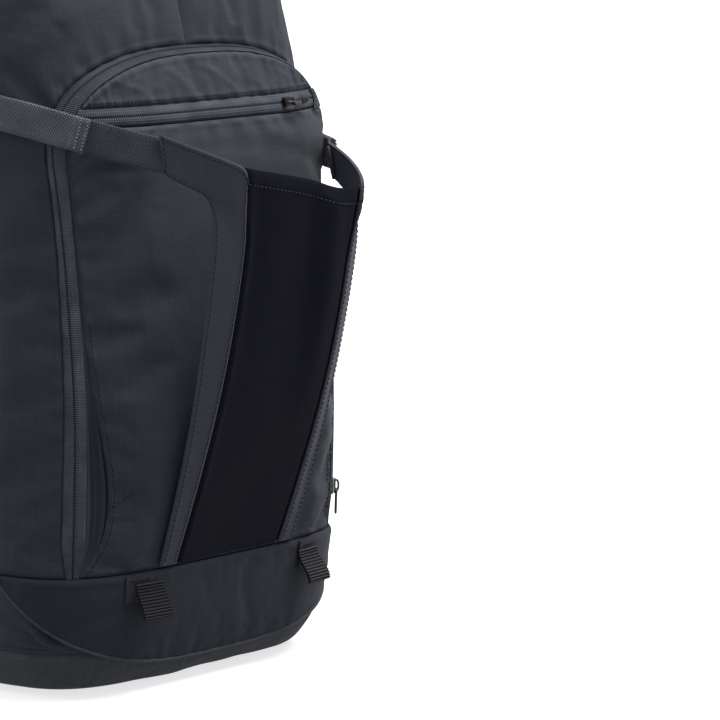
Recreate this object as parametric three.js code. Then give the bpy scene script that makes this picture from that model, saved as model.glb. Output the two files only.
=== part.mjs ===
import * as THREE from 'three';

// Mountain bike backpack, standing on its base. Millimetres, +Z up.
// The pack's front faces -Y, the wearer's back is at +Y, and the wearer's left is at -X.

// Cloth, webbing and seams
const CLOTH = 2;
const SEAM = 0.35;
const WEBBING_WIDTH = 20;
const WEBBING_THICK = 1.8;

// Body sections from the base up: half width, back face and front face without the compartment's swell
const SECTIONS = [
  { z: 0, half: 102, back: 51, front: -57 },
  { z: 5, half: 116, back: 63, front: -74 },
  { z: 27, half: 126, back: 70.5, front: -85 },
  { z: 73, half: 132, back: 74, front: -90 },
  { z: 157, half: 133, back: 75, front: -92 },
  { z: 247, half: 131, back: 75, front: -86 },
  { z: 312, half: 127, back: 74, front: -77 },
  { z: 362, half: 123, back: 72, front: -65 },
  { z: 422, half: 114, back: 68, front: -48 },
  { z: 447, half: 103, back: 61, front: -36 },
  { z: 463, half: 85, back: 51, front: -20 },
  { z: 471, half: 58, back: 38, front: 0 },
];
const WIDEST_Y = 5;
const FRONT_POWER = 4;
const BACK_POWER = 5;
const TOP = 473;

// Seams: heights, and how far the back seam lies in from the side
const BASE_SEAM = 27;
const LOWER_SEAM = 73;
const LID_SEAM = 422;
const BACK_SEAM_INSET = 14;
const BACK_PAD = 8;

// Arched zip: distances are measured round the body from the middle of its front
const ZIP_HALF = 5;
const ZIP_FOOT_HALF = 7;
const LEG_LOW = 117;
const LEG_HIGH = 114.5;
const SPRING = 307;
const RISE = 66.7;
const ARCH_POWER = 2.6;
const CROWN_SQUASH = 0.39;
const COIL_HALF = 2;
const COIL_HEIGHT = 0.8;
const TAPE = 1.4;

// Front compartment
const SWELL = 16;
const LEDGE_LEG = 3;
const LEDGE_TOP = 11;
const LEDGE_FROM = 267;
const LEDGE_REACH = 70;
const POCKET_Z = 339;
const POCKET_HALF = 5.5;
const GUSSET = 12;
const GUSSET_TOP = 257;
const GUSSET_DENT = 4;

// Lower band: its bound edge rises from the middle of the front to the sides
const BAND_THICK = 1.5;
const BAND_LIFT = 0.9;
const BAND_EDGE_Z = 15;
const BAND_EDGE_RISE = 32;
const BAND_EDGE_AT = 137;
const BAND_END = 162;

// Carrier flap
const HEM_Z = 302.5;
const HEM_TILT = -0.186;
const HEM_Y = -154;
const PANEL_HALF = 50;
const FLAP_FOOT_Z = 75;
const FLAP_FOOT_Y = -91.8;
const FLAP_FOOT_HALF = 45.5;
const FLAP_NARROWS_BY = 0.22;
const FLAP_BOW = 9;

// Harness
const STRAP_WIDTH = 62;
const STRAP_THICK = 12;
const STRAP_WEBBING = 25;

const LEFT = -1;
const RIGHT = 1;

function smooth(t) {
  const c = Math.min(1, Math.max(0, t));
  return c * c * (3 - 2 * c);
}

function mix(a, b, t) {
  return a + (b - a) * t;
}

// Section sizes at a height, by a cubic through the table that keeps between its rows
function sectionAt(z) {
  const last = SECTIONS.length - 1;
  const zc = Math.min(SECTIONS[last].z, Math.max(SECTIONS[0].z, z));
  let k = 0;
  while (k < last - 1 && SECTIONS[k + 1].z <= zc) k += 1;
  const slope = (key, i) => (SECTIONS[i + 1][key] - SECTIONS[i][key]) / (SECTIONS[i + 1].z - SECTIONS[i].z);
  const tangent = (key, i) => {
    if (i === 0) return slope(key, 0);
    if (i === last) return slope(key, last - 1);
    const before = slope(key, i - 1);
    const after = slope(key, i);
    return before * after <= 0 ? 0 : 2 * before * after / (before + after);
  };
  const span = SECTIONS[k + 1].z - SECTIONS[k].z;
  const t = (zc - SECTIONS[k].z) / span;
  const value = (key) => {
    const a = SECTIONS[k][key];
    const b = SECTIONS[k + 1][key];
    const ta = tangent(key, k) * span;
    const tb = tangent(key, k + 1) * span;
    return a * (1 - 3 * t * t + 2 * t * t * t) + ta * (t - 2 * t * t + t * t * t)
      + b * (3 * t * t - 2 * t * t * t) + tb * (t * t * t - t * t);
  };
  return { half: value('half'), back: value('back'), front: value('front') };
}

// Half outline of a section from the middle of the front to the middle of the back
const OUTLINE_STEPS = 240;
const outlines = new Map();
function outlineAt(z) {
  const key = Math.round(z * 20);
  if (outlines.has(key)) return outlines.get(key);
  const { half, back, front } = sectionAt(key / 20);
  const points = [];
  const lengths = [0];
  for (let i = 0; i <= OUTLINE_STEPS; i += 1) {
    const angle = Math.PI * (i / OUTLINE_STEPS - 0.5);
    const sine = Math.sin(angle);
    const power = sine < 0 ? FRONT_POWER : BACK_POWER;
    const depth = sine < 0 ? WIDEST_Y - front : back - WIDEST_Y;
    const x = half * Math.pow(Math.max(0, Math.cos(angle)), 2 / power);
    const y = WIDEST_Y + depth * Math.sign(sine) * Math.pow(Math.abs(sine), 2 / power);
    points.push(new THREE.Vector2(x, y));
    if (i > 0) lengths.push(lengths[i - 1] + points[i].distanceTo(points[i - 1]));
  }
  const outline = { points, lengths, total: lengths[OUTLINE_STEPS] };
  outlines.set(key, outline);
  return outline;
}

function outlinePoint(outline, distance) {
  const d = Math.min(outline.total, Math.max(0, distance));
  let low = 0;
  let high = OUTLINE_STEPS;
  while (high - low > 1) {
    const middle = (low + high) >> 1;
    if (outline.lengths[middle] <= d) low = middle;
    else high = middle;
  }
  const t = (d - outline.lengths[low]) / (outline.lengths[high] - outline.lengths[low]);
  return outline.points[low].clone().lerp(outline.points[high], t);
}

// Distance round the body to the back seam, and to the middle of the back
function backSeam(z) {
  return outlineAt(z).total - (sectionAt(z).half - BACK_SEAM_INSET);
}

// A place on the body: s is the distance round from the middle of the front, positive to the right
function bodyPoint(s, z, lift = 0) {
  const outline = outlineAt(z);
  let distance = Math.abs(s);
  let side = s < 0 ? -1 : 1;
  if (distance > outline.total) {
    distance = 2 * outline.total - distance;
    side = -side;
  }
  const at = outlinePoint(outline, distance);
  const before = outlinePoint(outline, distance - 1);
  const after = outlinePoint(outline, distance + 1);
  const run = after.sub(before).normalize();
  return new THREE.Vector3(side * (at.x + run.y * lift), at.y - run.x * lift, z);
}

// Arched zip: its centre line at a height or at a distance, and the whole line for t from foot to crown
const LEG_SHARE = 0.6;
function legAt(z) {
  return mix(LEG_LOW, LEG_HIGH, smooth((z - LOWER_SEAM) / (SPRING - LOWER_SEAM)));
}

function zipHalf(z) {
  return mix(ZIP_FOOT_HALF, ZIP_HALF, smooth((z - LOWER_SEAM) / (SPRING - LOWER_SEAM)));
}

function archHalf(z, offset) {
  if (z <= SPRING) return legAt(z) + offset;
  const q = Math.min(1, (z - SPRING) / (RISE + CROWN_SQUASH * offset));
  return (LEG_HIGH + offset) * Math.pow(1 - Math.pow(q, ARCH_POWER), 1 / ARCH_POWER);
}

function archHeight(s, offset) {
  const q = Math.min(1, Math.abs(s) / (LEG_HIGH + offset));
  return SPRING + (RISE + CROWN_SQUASH * offset) * Math.pow(1 - Math.pow(q, ARCH_POWER), 1 / ARCH_POWER);
}

// A line along the zip: share 0 is its middle and 1 its outer edge, and gap lies beyond that
function archLine(t, share, gap = 0) {
  if (t <= LEG_SHARE) {
    const z = mix(LOWER_SEAM + SEAM, SPRING, t / LEG_SHARE);
    return { s: legAt(z) + share * zipHalf(z) + gap, z };
  }
  const offset = share * ZIP_HALF + gap;
  const angle = Math.PI / 2 * (t - LEG_SHARE) / (1 - LEG_SHARE);
  const across = Math.pow(Math.max(0, Math.cos(angle)), 2 / ARCH_POWER);
  const up = Math.pow(Math.sin(angle), 2 / ARCH_POWER);
  return { s: (LEG_HIGH + offset) * across, z: SPRING + (RISE + CROWN_SQUASH * offset) * up };
}

// The compartment's ledge at the zip and its swell inside it
function ledge(z) {
  const top = smooth((z - LEDGE_FROM) / LEDGE_REACH);
  return mix(LEDGE_LEG, LEDGE_TOP, top) * smooth((z - LOWER_SEAM) / 30);
}

function frontLift(s, z) {
  const fromLeg = smooth((archHalf(z, -zipHalf(z)) - Math.abs(s)) / 45);
  const fromCrown = smooth((archHeight(s, -ZIP_HALF) - z) / 40);
  const fromFoot = smooth((z - LOWER_SEAM) / 85);
  return ledge(z) + Math.max(0, SWELL - ledge(z)) * fromLeg * fromCrown * fromFoot;
}

function gussetWidth(z) {
  const down = (GUSSET_TOP - z) / (GUSSET_TOP - LOWER_SEAM);
  return down <= 0 || down >= 1 ? 0 : GUSSET * Math.sin(Math.PI * Math.pow(down, 2.5));
}

function panelEdge(z) {
  return archHalf(z, -zipHalf(z)) - SEAM - gussetWidth(z);
}

// Solids
function solid(positions, index) {
  const geometry = new THREE.BufferGeometry();
  const numbers = positions.flatMap((p) => [p.x, p.y, p.z]);
  geometry.setAttribute('position', new THREE.Float32BufferAttribute(numbers, 3));
  let volume = 0;
  for (let i = 0; i < index.length; i += 3) {
    const [a, b, c] = [positions[index[i]], positions[index[i + 1]], positions[index[i + 2]]];
    volume += a.dot(b.clone().cross(c));
  }
  geometry.setIndex(volume > 0 ? index : index.slice().reverse());
  geometry.computeVertexNormals();
  return geometry;
}

function faceNormal(place, u, v, centre) {
  const e = 0.004;
  const du = place(Math.min(1, u + e), v).sub(place(Math.max(0, u - e), v));
  const dv = place(u, Math.min(1, v + e)).sub(place(u, Math.max(0, v - e)));
  const n = du.cross(dv).normalize();
  if (centre && n.dot(place(u, v).sub(centre)) < 0) n.negate();
  return n;
}

// A wall laid out over u and v from 0 to 1: `within` of its thickness lies behind the placed face
const BODY_CENTRE = new THREE.Vector3(0, WIDEST_Y, 217);
function sheet(columns, rows, place, thickness, within = 1, centre = BODY_CENTRE) {
  const positions = [];
  const index = [];
  const width = columns + 1;
  const layer = width * (rows + 1);
  for (const depth of [1 - within, -within]) {
    for (let j = 0; j <= rows; j += 1) {
      for (let i = 0; i <= columns; i += 1) {
        const n = faceNormal(place, i / columns, j / rows, centre);
        positions.push(place(i / columns, j / rows).addScaledVector(n, depth * thickness));
      }
    }
  }
  const quad = (a, b, c, d) => index.push(a, b, c, a, c, d);
  for (let j = 0; j < rows; j += 1) {
    for (let i = 0; i < columns; i += 1) {
      const a = j * width + i;
      quad(a, a + 1, a + 1 + width, a + width);
      quad(layer + a, layer + a + width, layer + a + 1 + width, layer + a + 1);
    }
  }
  for (let i = 0; i < columns; i += 1) {
    const top = rows * width + i;
    quad(i + 1, i, layer + i, layer + i + 1);
    quad(top, top + 1, layer + top + 1, layer + top);
  }
  for (let j = 0; j < rows; j += 1) {
    const left = j * width;
    const right = left + columns;
    quad(left, left + width, layer + left + width, layer + left);
    quad(right + width, right, layer + right, layer + right + width);
  }
  return solid(positions, index);
}

// A shallow bowl: rings round the body that close on a middle point
function bowl(columns, rings, place, middle, thickness) {
  const positions = [];
  const index = [];
  const layer = columns * rings;
  const wrapped = (u, v) => place(u - Math.floor(u), v);
  for (const depth of [0, -1]) {
    for (let j = 0; j < rings; j += 1) {
      for (let i = 0; i < columns; i += 1) {
        const n = faceNormal(wrapped, 0.01 + 0.98 * (i / columns), j / (rings - 1), BODY_CENTRE);
        positions.push(place(i / columns, j / (rings - 1)).addScaledVector(n, depth * thickness));
      }
    }
  }
  const outerMiddle = positions.push(middle.clone()) - 1;
  const inward = Math.sign(BODY_CENTRE.z - middle.z) * thickness;
  const innerMiddle = positions.push(middle.clone().add(new THREE.Vector3(0, 0, inward))) - 1;
  for (let i = 0; i < columns; i += 1) {
    const next = (i + 1) % columns;
    for (let j = 0; j < rings - 1; j += 1) {
      const [a, b] = [j * columns + i, j * columns + next];
      const [c, d] = [b + columns, a + columns];
      index.push(a, b, c, a, c, d, layer + a, layer + c, layer + b, layer + a, layer + d, layer + c);
    }
    const last = (rings - 1) * columns;
    index.push(last + i, last + next, outerMiddle, layer + last + next, layer + last + i, innerMiddle);
    index.push(next, i, layer + i, next, layer + i, layer + next);
  }
  return solid(positions, index);
}

// A solid through closed loops of the same count, closed by a fan at each end
function loft(loops) {
  const positions = loops.flat();
  const index = [];
  const count = loops[0].length;
  for (let k = 0; k < loops.length - 1; k += 1) {
    for (let i = 0; i < count; i += 1) {
      const [a, b] = [k * count + i, k * count + (i + 1) % count];
      index.push(a, b, b + count, a, b + count, a + count);
    }
  }
  for (const [k, flip] of [[0, true], [loops.length - 1, false]]) {
    const middle = loops[k].reduce((sum, p) => sum.add(p), new THREE.Vector3()).divideScalar(count);
    const m = positions.push(middle) - 1;
    for (let i = 0; i < count; i += 1) {
      const [a, b] = [k * count + i, k * count + (i + 1) % count];
      index.push(...(flip ? [b, a, m] : [a, b, m]));
    }
  }
  return solid(positions, index);
}

// A strap along points: `across` gives its width direction, `shape` its half width and half thickness at t
const FLAT_SECTION = [[-1, -1], [1, -1], [1, 1], [-1, 1]];
const PADDED_SECTION = Array.from({ length: 12 }, (_, i) => {
  const angle = Math.PI * 2 * i / 12;
  const round = (value, power) => Math.sign(value) * Math.pow(Math.abs(value), 2 / power);
  return [round(Math.cos(angle), 4), round(Math.sin(angle), 3)];
});
function strap(points, steps, section, across, shape) {
  const curve = new THREE.CatmullRomCurve3(points, false, 'centripetal');
  const loops = [];
  for (let k = 0; k <= steps; k += 1) {
    const t = k / steps;
    const middle = curve.getPoint(t);
    const along = curve.getTangent(t);
    const side = across(t, middle).clone();
    side.addScaledVector(along, -side.dot(along)).normalize();
    const face = along.clone().cross(side);
    const { half, deep } = shape(t);
    const corner = ([a, b]) => middle.clone().addScaledVector(side, a * half).addScaledVector(face, b * deep);
    loops.push(section.map(corner));
  }
  return loft(loops);
}

const webbingShape = () => ({ half: WEBBING_WIDTH / 2, deep: WEBBING_THICK / 2 });

// Pieces
const part = new THREE.Group();
part.name = 'mountain_bike_backpack';

const COLOURS = {
  shell: 0x3c3f47,
  panel: 0x33363d,
  base: 0x2f3034,
  zip: 0x26282c,
  stretch: 0x16171b,
  webbing: 0x3a3b40,
  ribbed: 0x29272a,
  padding: 0x2a2c31,
  plastic: 0x1c1d20,
  metal: 0x77726a,
};

function add(name, geometry, colour) {
  const material = new THREE.MeshStandardMaterial({ color: COLOURS[colour], roughness: 0.8 });
  material.metalness = colour === 'metal' ? 1 : 0;
  material.name = colour;
  const mesh = new THREE.Mesh(geometry, material);
  mesh.name = name;
  part.add(mesh);
}

function mirroredName(name, side) {
  return side === LEFT ? `${name}_left` : `${name}_right`;
}

// Side wraps: from the arched zip outward to the back seam and the lid's seam
function wrapPlace(side) {
  return (u, v) => {
    const outward = side === LEFT ? 1 - u : u;
    const inner = archLine(v, 1, SEAM);
    const corner = Math.max(0, (v - LEG_SHARE) / (1 - LEG_SHARE));
    const outerZ = mix(LOWER_SEAM + SEAM, LID_SEAM - SEAM, Math.min(1, v / LEG_SHARE));
    const outerS = (backSeam(outerZ) - SEAM) * (1 - corner);
    const s = Math.max(mix(inner.s, outerS, outward), SEAM);
    return bodyPoint(side * s, mix(inner.z, outerZ, outward));
  };
}

function lowerSidePlace(side) {
  return (u, v) => {
    const z = mix(BASE_SEAM + SEAM, LOWER_SEAM - SEAM, v);
    const outward = side === LEFT ? 1 - u : u;
    return bodyPoint(side * mix(SEAM, backSeam(z) - SEAM, outward), z);
  };
}

function gussetPlace(side) {
  const low = LOWER_SEAM + 10;
  const high = GUSSET_TOP - 70;
  return (u, v) => {
    const z = mix(low, high, v);
    const s = mix(panelEdge(z) - 1, archHalf(z, -zipHalf(z)) + 1, side === LEFT ? 1 - u : u);
    const dent = GUSSET_DENT * Math.sin(Math.PI * u) * smooth(gussetWidth(z) / GUSSET);
    return bodyPoint(side * s, z, ledge(z) - CLOTH - 0.6 - dent);
  };
}

for (const side of [LEFT, RIGHT]) {
  add(mirroredName('wrap', side), sheet(9, 20, wrapPlace(side), CLOTH), 'shell');
  add(mirroredName('lower_side', side), sheet(14, 3, lowerSidePlace(side), CLOTH), 'shell');
  add(mirroredName('gusset', side), sheet(4, 9, gussetPlace(side), CLOTH), 'panel');
}

// Lid, base and back
const LID_HEIGHTS = [LID_SEAM + SEAM, 437, 450, 460, 467, 471];
const BASE_HEIGHTS = [BASE_SEAM - SEAM, 15, 5, 1.6, 0];
function ringPlace(heights) {
  return (u, v) => {
    const at = v * (heights.length - 1);
    const k = Math.min(heights.length - 2, Math.floor(at));
    const z = mix(heights[k], heights[k + 1], at - k);
    return bodyPoint((u - 0.5) * 2 * outlineAt(z).total, z);
  };
}
const topSection = SECTIONS[SECTIONS.length - 1];
const topMiddle = new THREE.Vector3(0, (topSection.back + topSection.front) / 2, TOP);
const baseMiddle = new THREE.Vector3(0, (SECTIONS[0].back + SECTIONS[0].front) / 2, 0);
add('lid', bowl(32, LID_HEIGHTS.length, ringPlace(LID_HEIGHTS), topMiddle, CLOTH), 'shell');
add('base_panel', bowl(32, BASE_HEIGHTS.length, ringPlace(BASE_HEIGHTS), baseMiddle, CLOTH), 'base');

function backPlace(u, v) {
  const z = mix(BASE_SEAM + SEAM, LID_SEAM - SEAM, v);
  const reach = sectionAt(z).half - BACK_SEAM_INSET - SEAM;
  return bodyPoint(outlineAt(z).total + (2 * u - 1) * reach, z);
}
add('back_panel', sheet(10, 10, backPlace, BACK_PAD, 0.7), 'padding');

// Lower band over the lower seam's foot
function bandPlace(u, v) {
  const s = (2 * u - 1) * BAND_END;
  const edge = BAND_EDGE_Z + BAND_EDGE_RISE * Math.pow(Math.abs(s) / BAND_EDGE_AT, 3);
  return bodyPoint(s, mix(edge, LOWER_SEAM - SEAM, Math.pow(v, 1.6)), BAND_LIFT);
}
add('lower_band', sheet(24, 7, bandPlace, BAND_THICK, 0), 'panel');

// Front compartment
function pocketPlace(u, v) {
  const z = mix(POCKET_Z - POCKET_HALF, POCKET_Z + POCKET_HALF, v);
  const s = (2 * u - 1) * (archHalf(z, -ZIP_HALF) - 1);
  const coil = Math.abs(2 * v - 1) * POCKET_HALF < COIL_HALF ? COIL_HEIGHT : 0;
  return bodyPoint(s, z, frontLift(s, z) + coil);
}

function frontUpperPlace(u, v) {
  const low = POCKET_Z + POCKET_HALF + SEAM;
  const reach = archHalf(low + 3, -ZIP_HALF) - 2 * SEAM;
  const s = (2 * u - 1) * reach;
  const z = mix(low, archHeight(s, -ZIP_HALF) - SEAM, v);
  return bodyPoint(s, z, frontLift(s, z));
}

function frontLowerPlace(u, v) {
  const z = mix(LOWER_SEAM + SEAM, POCKET_Z - POCKET_HALF - SEAM, v);
  const s = (2 * u - 1) * panelEdge(z);
  return bodyPoint(s, z, frontLift(s, z));
}

// Arched zip tape with its raised coil: u runs across the tape, v from one foot over the crown to the other
function archZipPlace(u, v) {
  const t = 1 - Math.abs(2 * v - 1);
  const share = 1 - 2 * u;
  const line = archLine(t, share);
  const coil = Math.abs(share) * zipHalf(line.z) < COIL_HALF ? COIL_HEIGHT : 0;
  return bodyPoint((v < 0.5 ? -1 : 1) * line.s, line.z, ledge(line.z) * u + coil);
}

add('front_upper', sheet(16, 3, frontUpperPlace, CLOTH), 'panel');
add('front_lower', sheet(14, 11, frontLowerPlace, CLOTH), 'panel');
add('pocket_zip', sheet(16, 5, pocketPlace, TAPE, 0), 'zip');
add('arch_zip', sheet(5, 38, archZipPlace, TAPE, 0), 'zip');

// Zip sliders and pulls, set on a place of the body with their length along `turn`
function onBody(geometry, s, z, lift, turn) {
  const at = bodyPoint(s, z, lift);
  const outward = bodyPoint(s, z, lift + 1).sub(at).normalize();
  const round = bodyPoint(s + 1, z, lift).sub(bodyPoint(s - 1, z, lift)).normalize();
  const up = outward.clone().cross(round);
  const length = round.clone().multiplyScalar(Math.cos(turn)).addScaledVector(up, Math.sin(turn));
  const basis = new THREE.Matrix4().makeBasis(length, outward.clone().cross(length), outward);
  return geometry.applyMatrix4(basis.setPosition(at));
}

function roundedPlate(length, width, radius, thick, hole = 0) {
  const shape = new THREE.Shape();
  const [a, b] = [length / 2, width / 2];
  const quarter = Math.PI / 2;
  shape.moveTo(-a + radius, -b).lineTo(a - radius, -b);
  shape.absarc(a - radius, -b + radius, radius, -quarter, 0);
  shape.absarc(a - radius, b - radius, radius, 0, quarter);
  shape.absarc(-a + radius, b - radius, radius, quarter, 2 * quarter);
  shape.absarc(-a + radius, -b + radius, radius, 2 * quarter, 3 * quarter);
  if (hole > 0) {
    const slot = new THREE.Path();
    slot.moveTo(-a + hole, -b + hole).lineTo(-a + hole, b - hole);
    slot.lineTo(a - hole, b - hole).lineTo(a - hole, -b + hole).closePath();
    shape.holes.push(slot);
  }
  return new THREE.ExtrudeGeometry(shape, { depth: thick, bevelEnabled: false, curveSegments: 3, steps: 1 });
}

const SLIDER_S = 61;
const GARAGE_S = 92;
const SLIDER_LENGTH = 11;
const PULL_LENGTH = 13;
const OVER_COIL = TAPE + COIL_HEIGHT + 0.7;
const sliderLift = frontLift(SLIDER_S - SLIDER_LENGTH / 2, POCKET_Z - POCKET_HALF) + OVER_COIL - 0.8;
const pullS = SLIDER_S + SLIDER_LENGTH / 2 + PULL_LENGTH / 2 + 0.5;
const underPull = Math.max(frontLift(pullS, POCKET_Z), frontLift(pullS - PULL_LENGTH / 2, POCKET_Z));
const sliderPlate = roundedPlate(SLIDER_LENGTH, 8, 2, 3.2);
const pullPlate = roundedPlate(PULL_LENGTH, 5.5, 2.2, 1.6, 1.6);
add('pocket_zip_slider', onBody(sliderPlate, SLIDER_S, POCKET_Z, sliderLift, 0), 'metal');
add('pocket_zip_pull', onBody(pullPlate, pullS, POCKET_Z, underPull + OVER_COIL, 0), 'metal');

function garagePlace(u, v) {
  const z = mix(POCKET_Z - POCKET_HALF, POCKET_Z + POCKET_HALF, v);
  const s = mix(GARAGE_S + 1.5 * Math.sin(Math.PI * v), archHalf(z, -ZIP_HALF) - 1, u);
  return bodyPoint(s, z, frontLift(s, z) + TAPE + COIL_HEIGHT + 0.5);
}
add('zip_garage', sheet(3, 4, garagePlace, 1.2, 0), 'panel');

const ARCH_SLIDER_Z = 91;
const archSliderLift = ledge(ARCH_SLIDER_Z) * 0.5 + OVER_COIL + 0.5;
const archSlider = roundedPlate(26, 8, 2, 3);
add('arch_zip_slider',
  onBody(archSlider, legAt(ARCH_SLIDER_Z), ARCH_SLIDER_Z, archSliderLift, Math.PI / 2), 'metal');

// Carrier flap: a taut panel from the hem to the lower seam, with an arm sewn to each side
function flapY(down) {
  return mix(HEM_Y, FLAP_FOOT_Y, down) - FLAP_BOW * Math.sin(Math.PI * down);
}

function flapHalf(down) {
  return mix(PANEL_HALF, FLAP_FOOT_HALF, smooth(down / FLAP_NARROWS_BY));
}

function flapPlace(u, v) {
  const down = 1 - v;
  const x = (2 * u - 1) * (flapHalf(down) - SEAM);
  return new THREE.Vector3(x, flapY(down), mix(HEM_Z + HEM_TILT * x, FLAP_FOOT_Z, down));
}
add('carrier_panel', sheet(8, 12, flapPlace, CLOTH, 0.5, null), 'stretch');

// An arm: rows run down the side band, and its upper rows reach back to the strap's end
const ARM_ROWS = [
  { down: 0.0, back: 39, out: 33, rise: 20.5 },
  { down: 0.035, back: 37, out: 32.9, rise: 20.8 },
  { down: 0.07, back: 35, out: 33.4, rise: 21.2 },
  { down: 0.1, back: 33, out: 33.8, rise: 21.5 },
  { down: 0.125, back: 23.8, out: 28.5, rise: 22 },
  { down: 0.155, back: 14.2, out: 22.8, rise: 23.5 },
  { down: 0.2, back: 8, out: 20.2, rise: 25 },
  { down: 0.28, back: 4, out: 19.3, rise: 24 },
  { down: 0.5, back: 3, out: 17.5, rise: 16 },
  { down: 0.75, back: 1.5, out: 15, rise: 7 },
  { down: 1.0, back: 0.5, out: 13.5, rise: 0 },
];

// The right arm is pulled straighter back than the left one
const ARM_FOOT_OUT = 13.5;
const ARM_CLIMB = { power: 1.6, share: 0.8, from: 0.1 };
const ARM_PULL = {
  [LEFT]: { back: 1, out: 1, rise: 1 },
  [RIGHT]: { back: 1.15, out: 0.5, rise: 1.12 },
};
function armPlace(side) {
  return (u, v) => {
    const at = (1 - v) * (ARM_ROWS.length - 1);
    const k = Math.min(ARM_ROWS.length - 2, Math.floor(at));
    const pick = (key) => mix(ARM_ROWS[k][key], ARM_ROWS[k + 1][key], at - k);
    const outward = side === LEFT ? 1 - u : u;
    const down = pick('down');
    const pull = ARM_PULL[side];
    const reach = mix(ARM_FOOT_OUT, pick('out'), pull.out) * mix(outward, 1 - (1 - outward) ** 1.5, 0.6);
    const x = side * (flapHalf(down) + SEAM + reach);
    const y = flapY(down) + pull.back * pick('back') * Math.pow(outward, 1.5);
    const seam = mix(HEM_Z + HEM_TILT * side * flapHalf(down), FLAP_FOOT_Z, down);
    const early = ARM_CLIMB.share * smooth(down / ARM_CLIMB.from);
    const climb = mix(outward, 1 - (1 - outward) ** ARM_CLIMB.power, early);
    return new THREE.Vector3(x, y, seam + pull.rise * pick('rise') * climb);
  };
}

// The strap: flat on the side of the body from the back seam, then taut to the arm's end
const STRAP_ON_BODY = [
  { s: 215, left: 355, right: 335, bridge: 0 },
  { s: 206, left: 353.8, right: 332, bridge: 0 },
  { s: 190, left: 351.5, right: 326.7, bridge: 0 },
  { s: 168, left: 347.3, right: 319, bridge: 0 },
  { s: 146, left: 342.7, right: 311.2, bridge: 1.2 },
  { s: 126, left: 338.5, right: 304.5, bridge: 5.6 },
];
const STRAP_LIFT = 2.2;
const ARM_ENDS = {
  [LEFT]: new THREE.Vector3(-82.5, -115.5, 319.5),
  [RIGHT]: new THREE.Vector3(75, -110.5, 304),
};
const STRAP_BOWS = {
  [LEFT]: { reach: new THREE.Vector3(-4.5, -3.5, 0), power: 1 },
  [RIGHT]: { reach: new THREE.Vector3(2.5, -2.1, 0), power: 0.6 },
};
function strapPoints(side) {
  const height = (row) => (side === LEFT ? row.left : row.right);
  const lift = (row) => (side === LEFT ? STRAP_LIFT : STRAP_LIFT + row.bridge);
  const points = STRAP_ON_BODY.map((row) => bodyPoint(side * row.s, height(row), lift(row)));
  const last = points[points.length - 1];
  for (const t of [0.35, 0.7, 0.945]) {
    const bow = Math.sin(Math.PI * t ** STRAP_BOWS[side].power);
    points.push(last.clone().lerp(ARM_ENDS[side], t).addScaledVector(STRAP_BOWS[side].reach, bow));
  }
  return points;
}

// The strap's width follows the lean of the body beside it
function strapAcross(t, middle) {
  const above = sectionAt(middle.z + 8);
  const below = sectionAt(middle.z - 8);
  const depth = (section) => (middle.y < WIDEST_Y ? WIDEST_Y - section.front : section.back - WIDEST_Y);
  const x = middle.x * (above.half / below.half - 1);
  const y = (middle.y - WIDEST_Y) * (depth(above) / depth(below) - 1);
  return new THREE.Vector3(x, y, 16);
}

// The strap's folded end lies over its stretch on the body's corner
function foldPoints(side) {
  const curve = new THREE.CatmullRomCurve3(strapPoints(side), false, 'centripetal');
  return [0.45, 0.52, 0.59, 0.66, 0.73, 0.79].map((t) => {
    const at = curve.getPoint(t);
    const outward = curve.getTangent(t).cross(strapAcross(t, at)).normalize();
    if (outward.dot(new THREE.Vector3(at.x, at.y - WIDEST_Y, 0)) < 0) outward.negate();
    return at.addScaledVector(outward, WEBBING_THICK + 0.5);
  });
}

// Lower tabs: a stitched patch under the lower seam and a webbing tab that stands off it
const TAB_S = 75;
function patchPlace(side) {
  return (u, v) => {
    const s = side * TAB_S + (2 * u - 1) * WEBBING_WIDTH / 2;
    return bodyPoint(s, mix(LOWER_SEAM - 17, LOWER_SEAM - 1, v), BAND_LIFT + BAND_THICK + 0.5);
  };
}

function ribbedPlace(side) {
  return (u, v) => {
    const s = side * (TAB_S - 5) + (2 * u - 1) * WEBBING_WIDTH / 2;
    const down = 1 - v;
    const lift = BAND_LIFT + BAND_THICK + 2.7 + 7 * smooth(down);
    return bodyPoint(s, mix(LOWER_SEAM - 4, LOWER_SEAM - 24, down), lift);
  };
}

for (const side of [LEFT, RIGHT]) {
  add(mirroredName('carrier_arm', side), sheet(5, 20, armPlace(side), CLOTH, 0.5, null), 'panel');
  add(mirroredName('carrier_strap', side),
    strap(strapPoints(side), 26, FLAT_SECTION, strapAcross, webbingShape), 'webbing');
  add(mirroredName('strap_fold', side),
    strap(foldPoints(side), 8, FLAT_SECTION, strapAcross, webbingShape), 'webbing');
  add(mirroredName('tab_patch', side), sheet(3, 2, patchPlace(side), 1.4, 0), 'ribbed');
  add(mirroredName('ribbed_tab', side), sheet(2, 6, ribbedPlace(side), 2, 0), 'ribbed');
}

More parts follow.
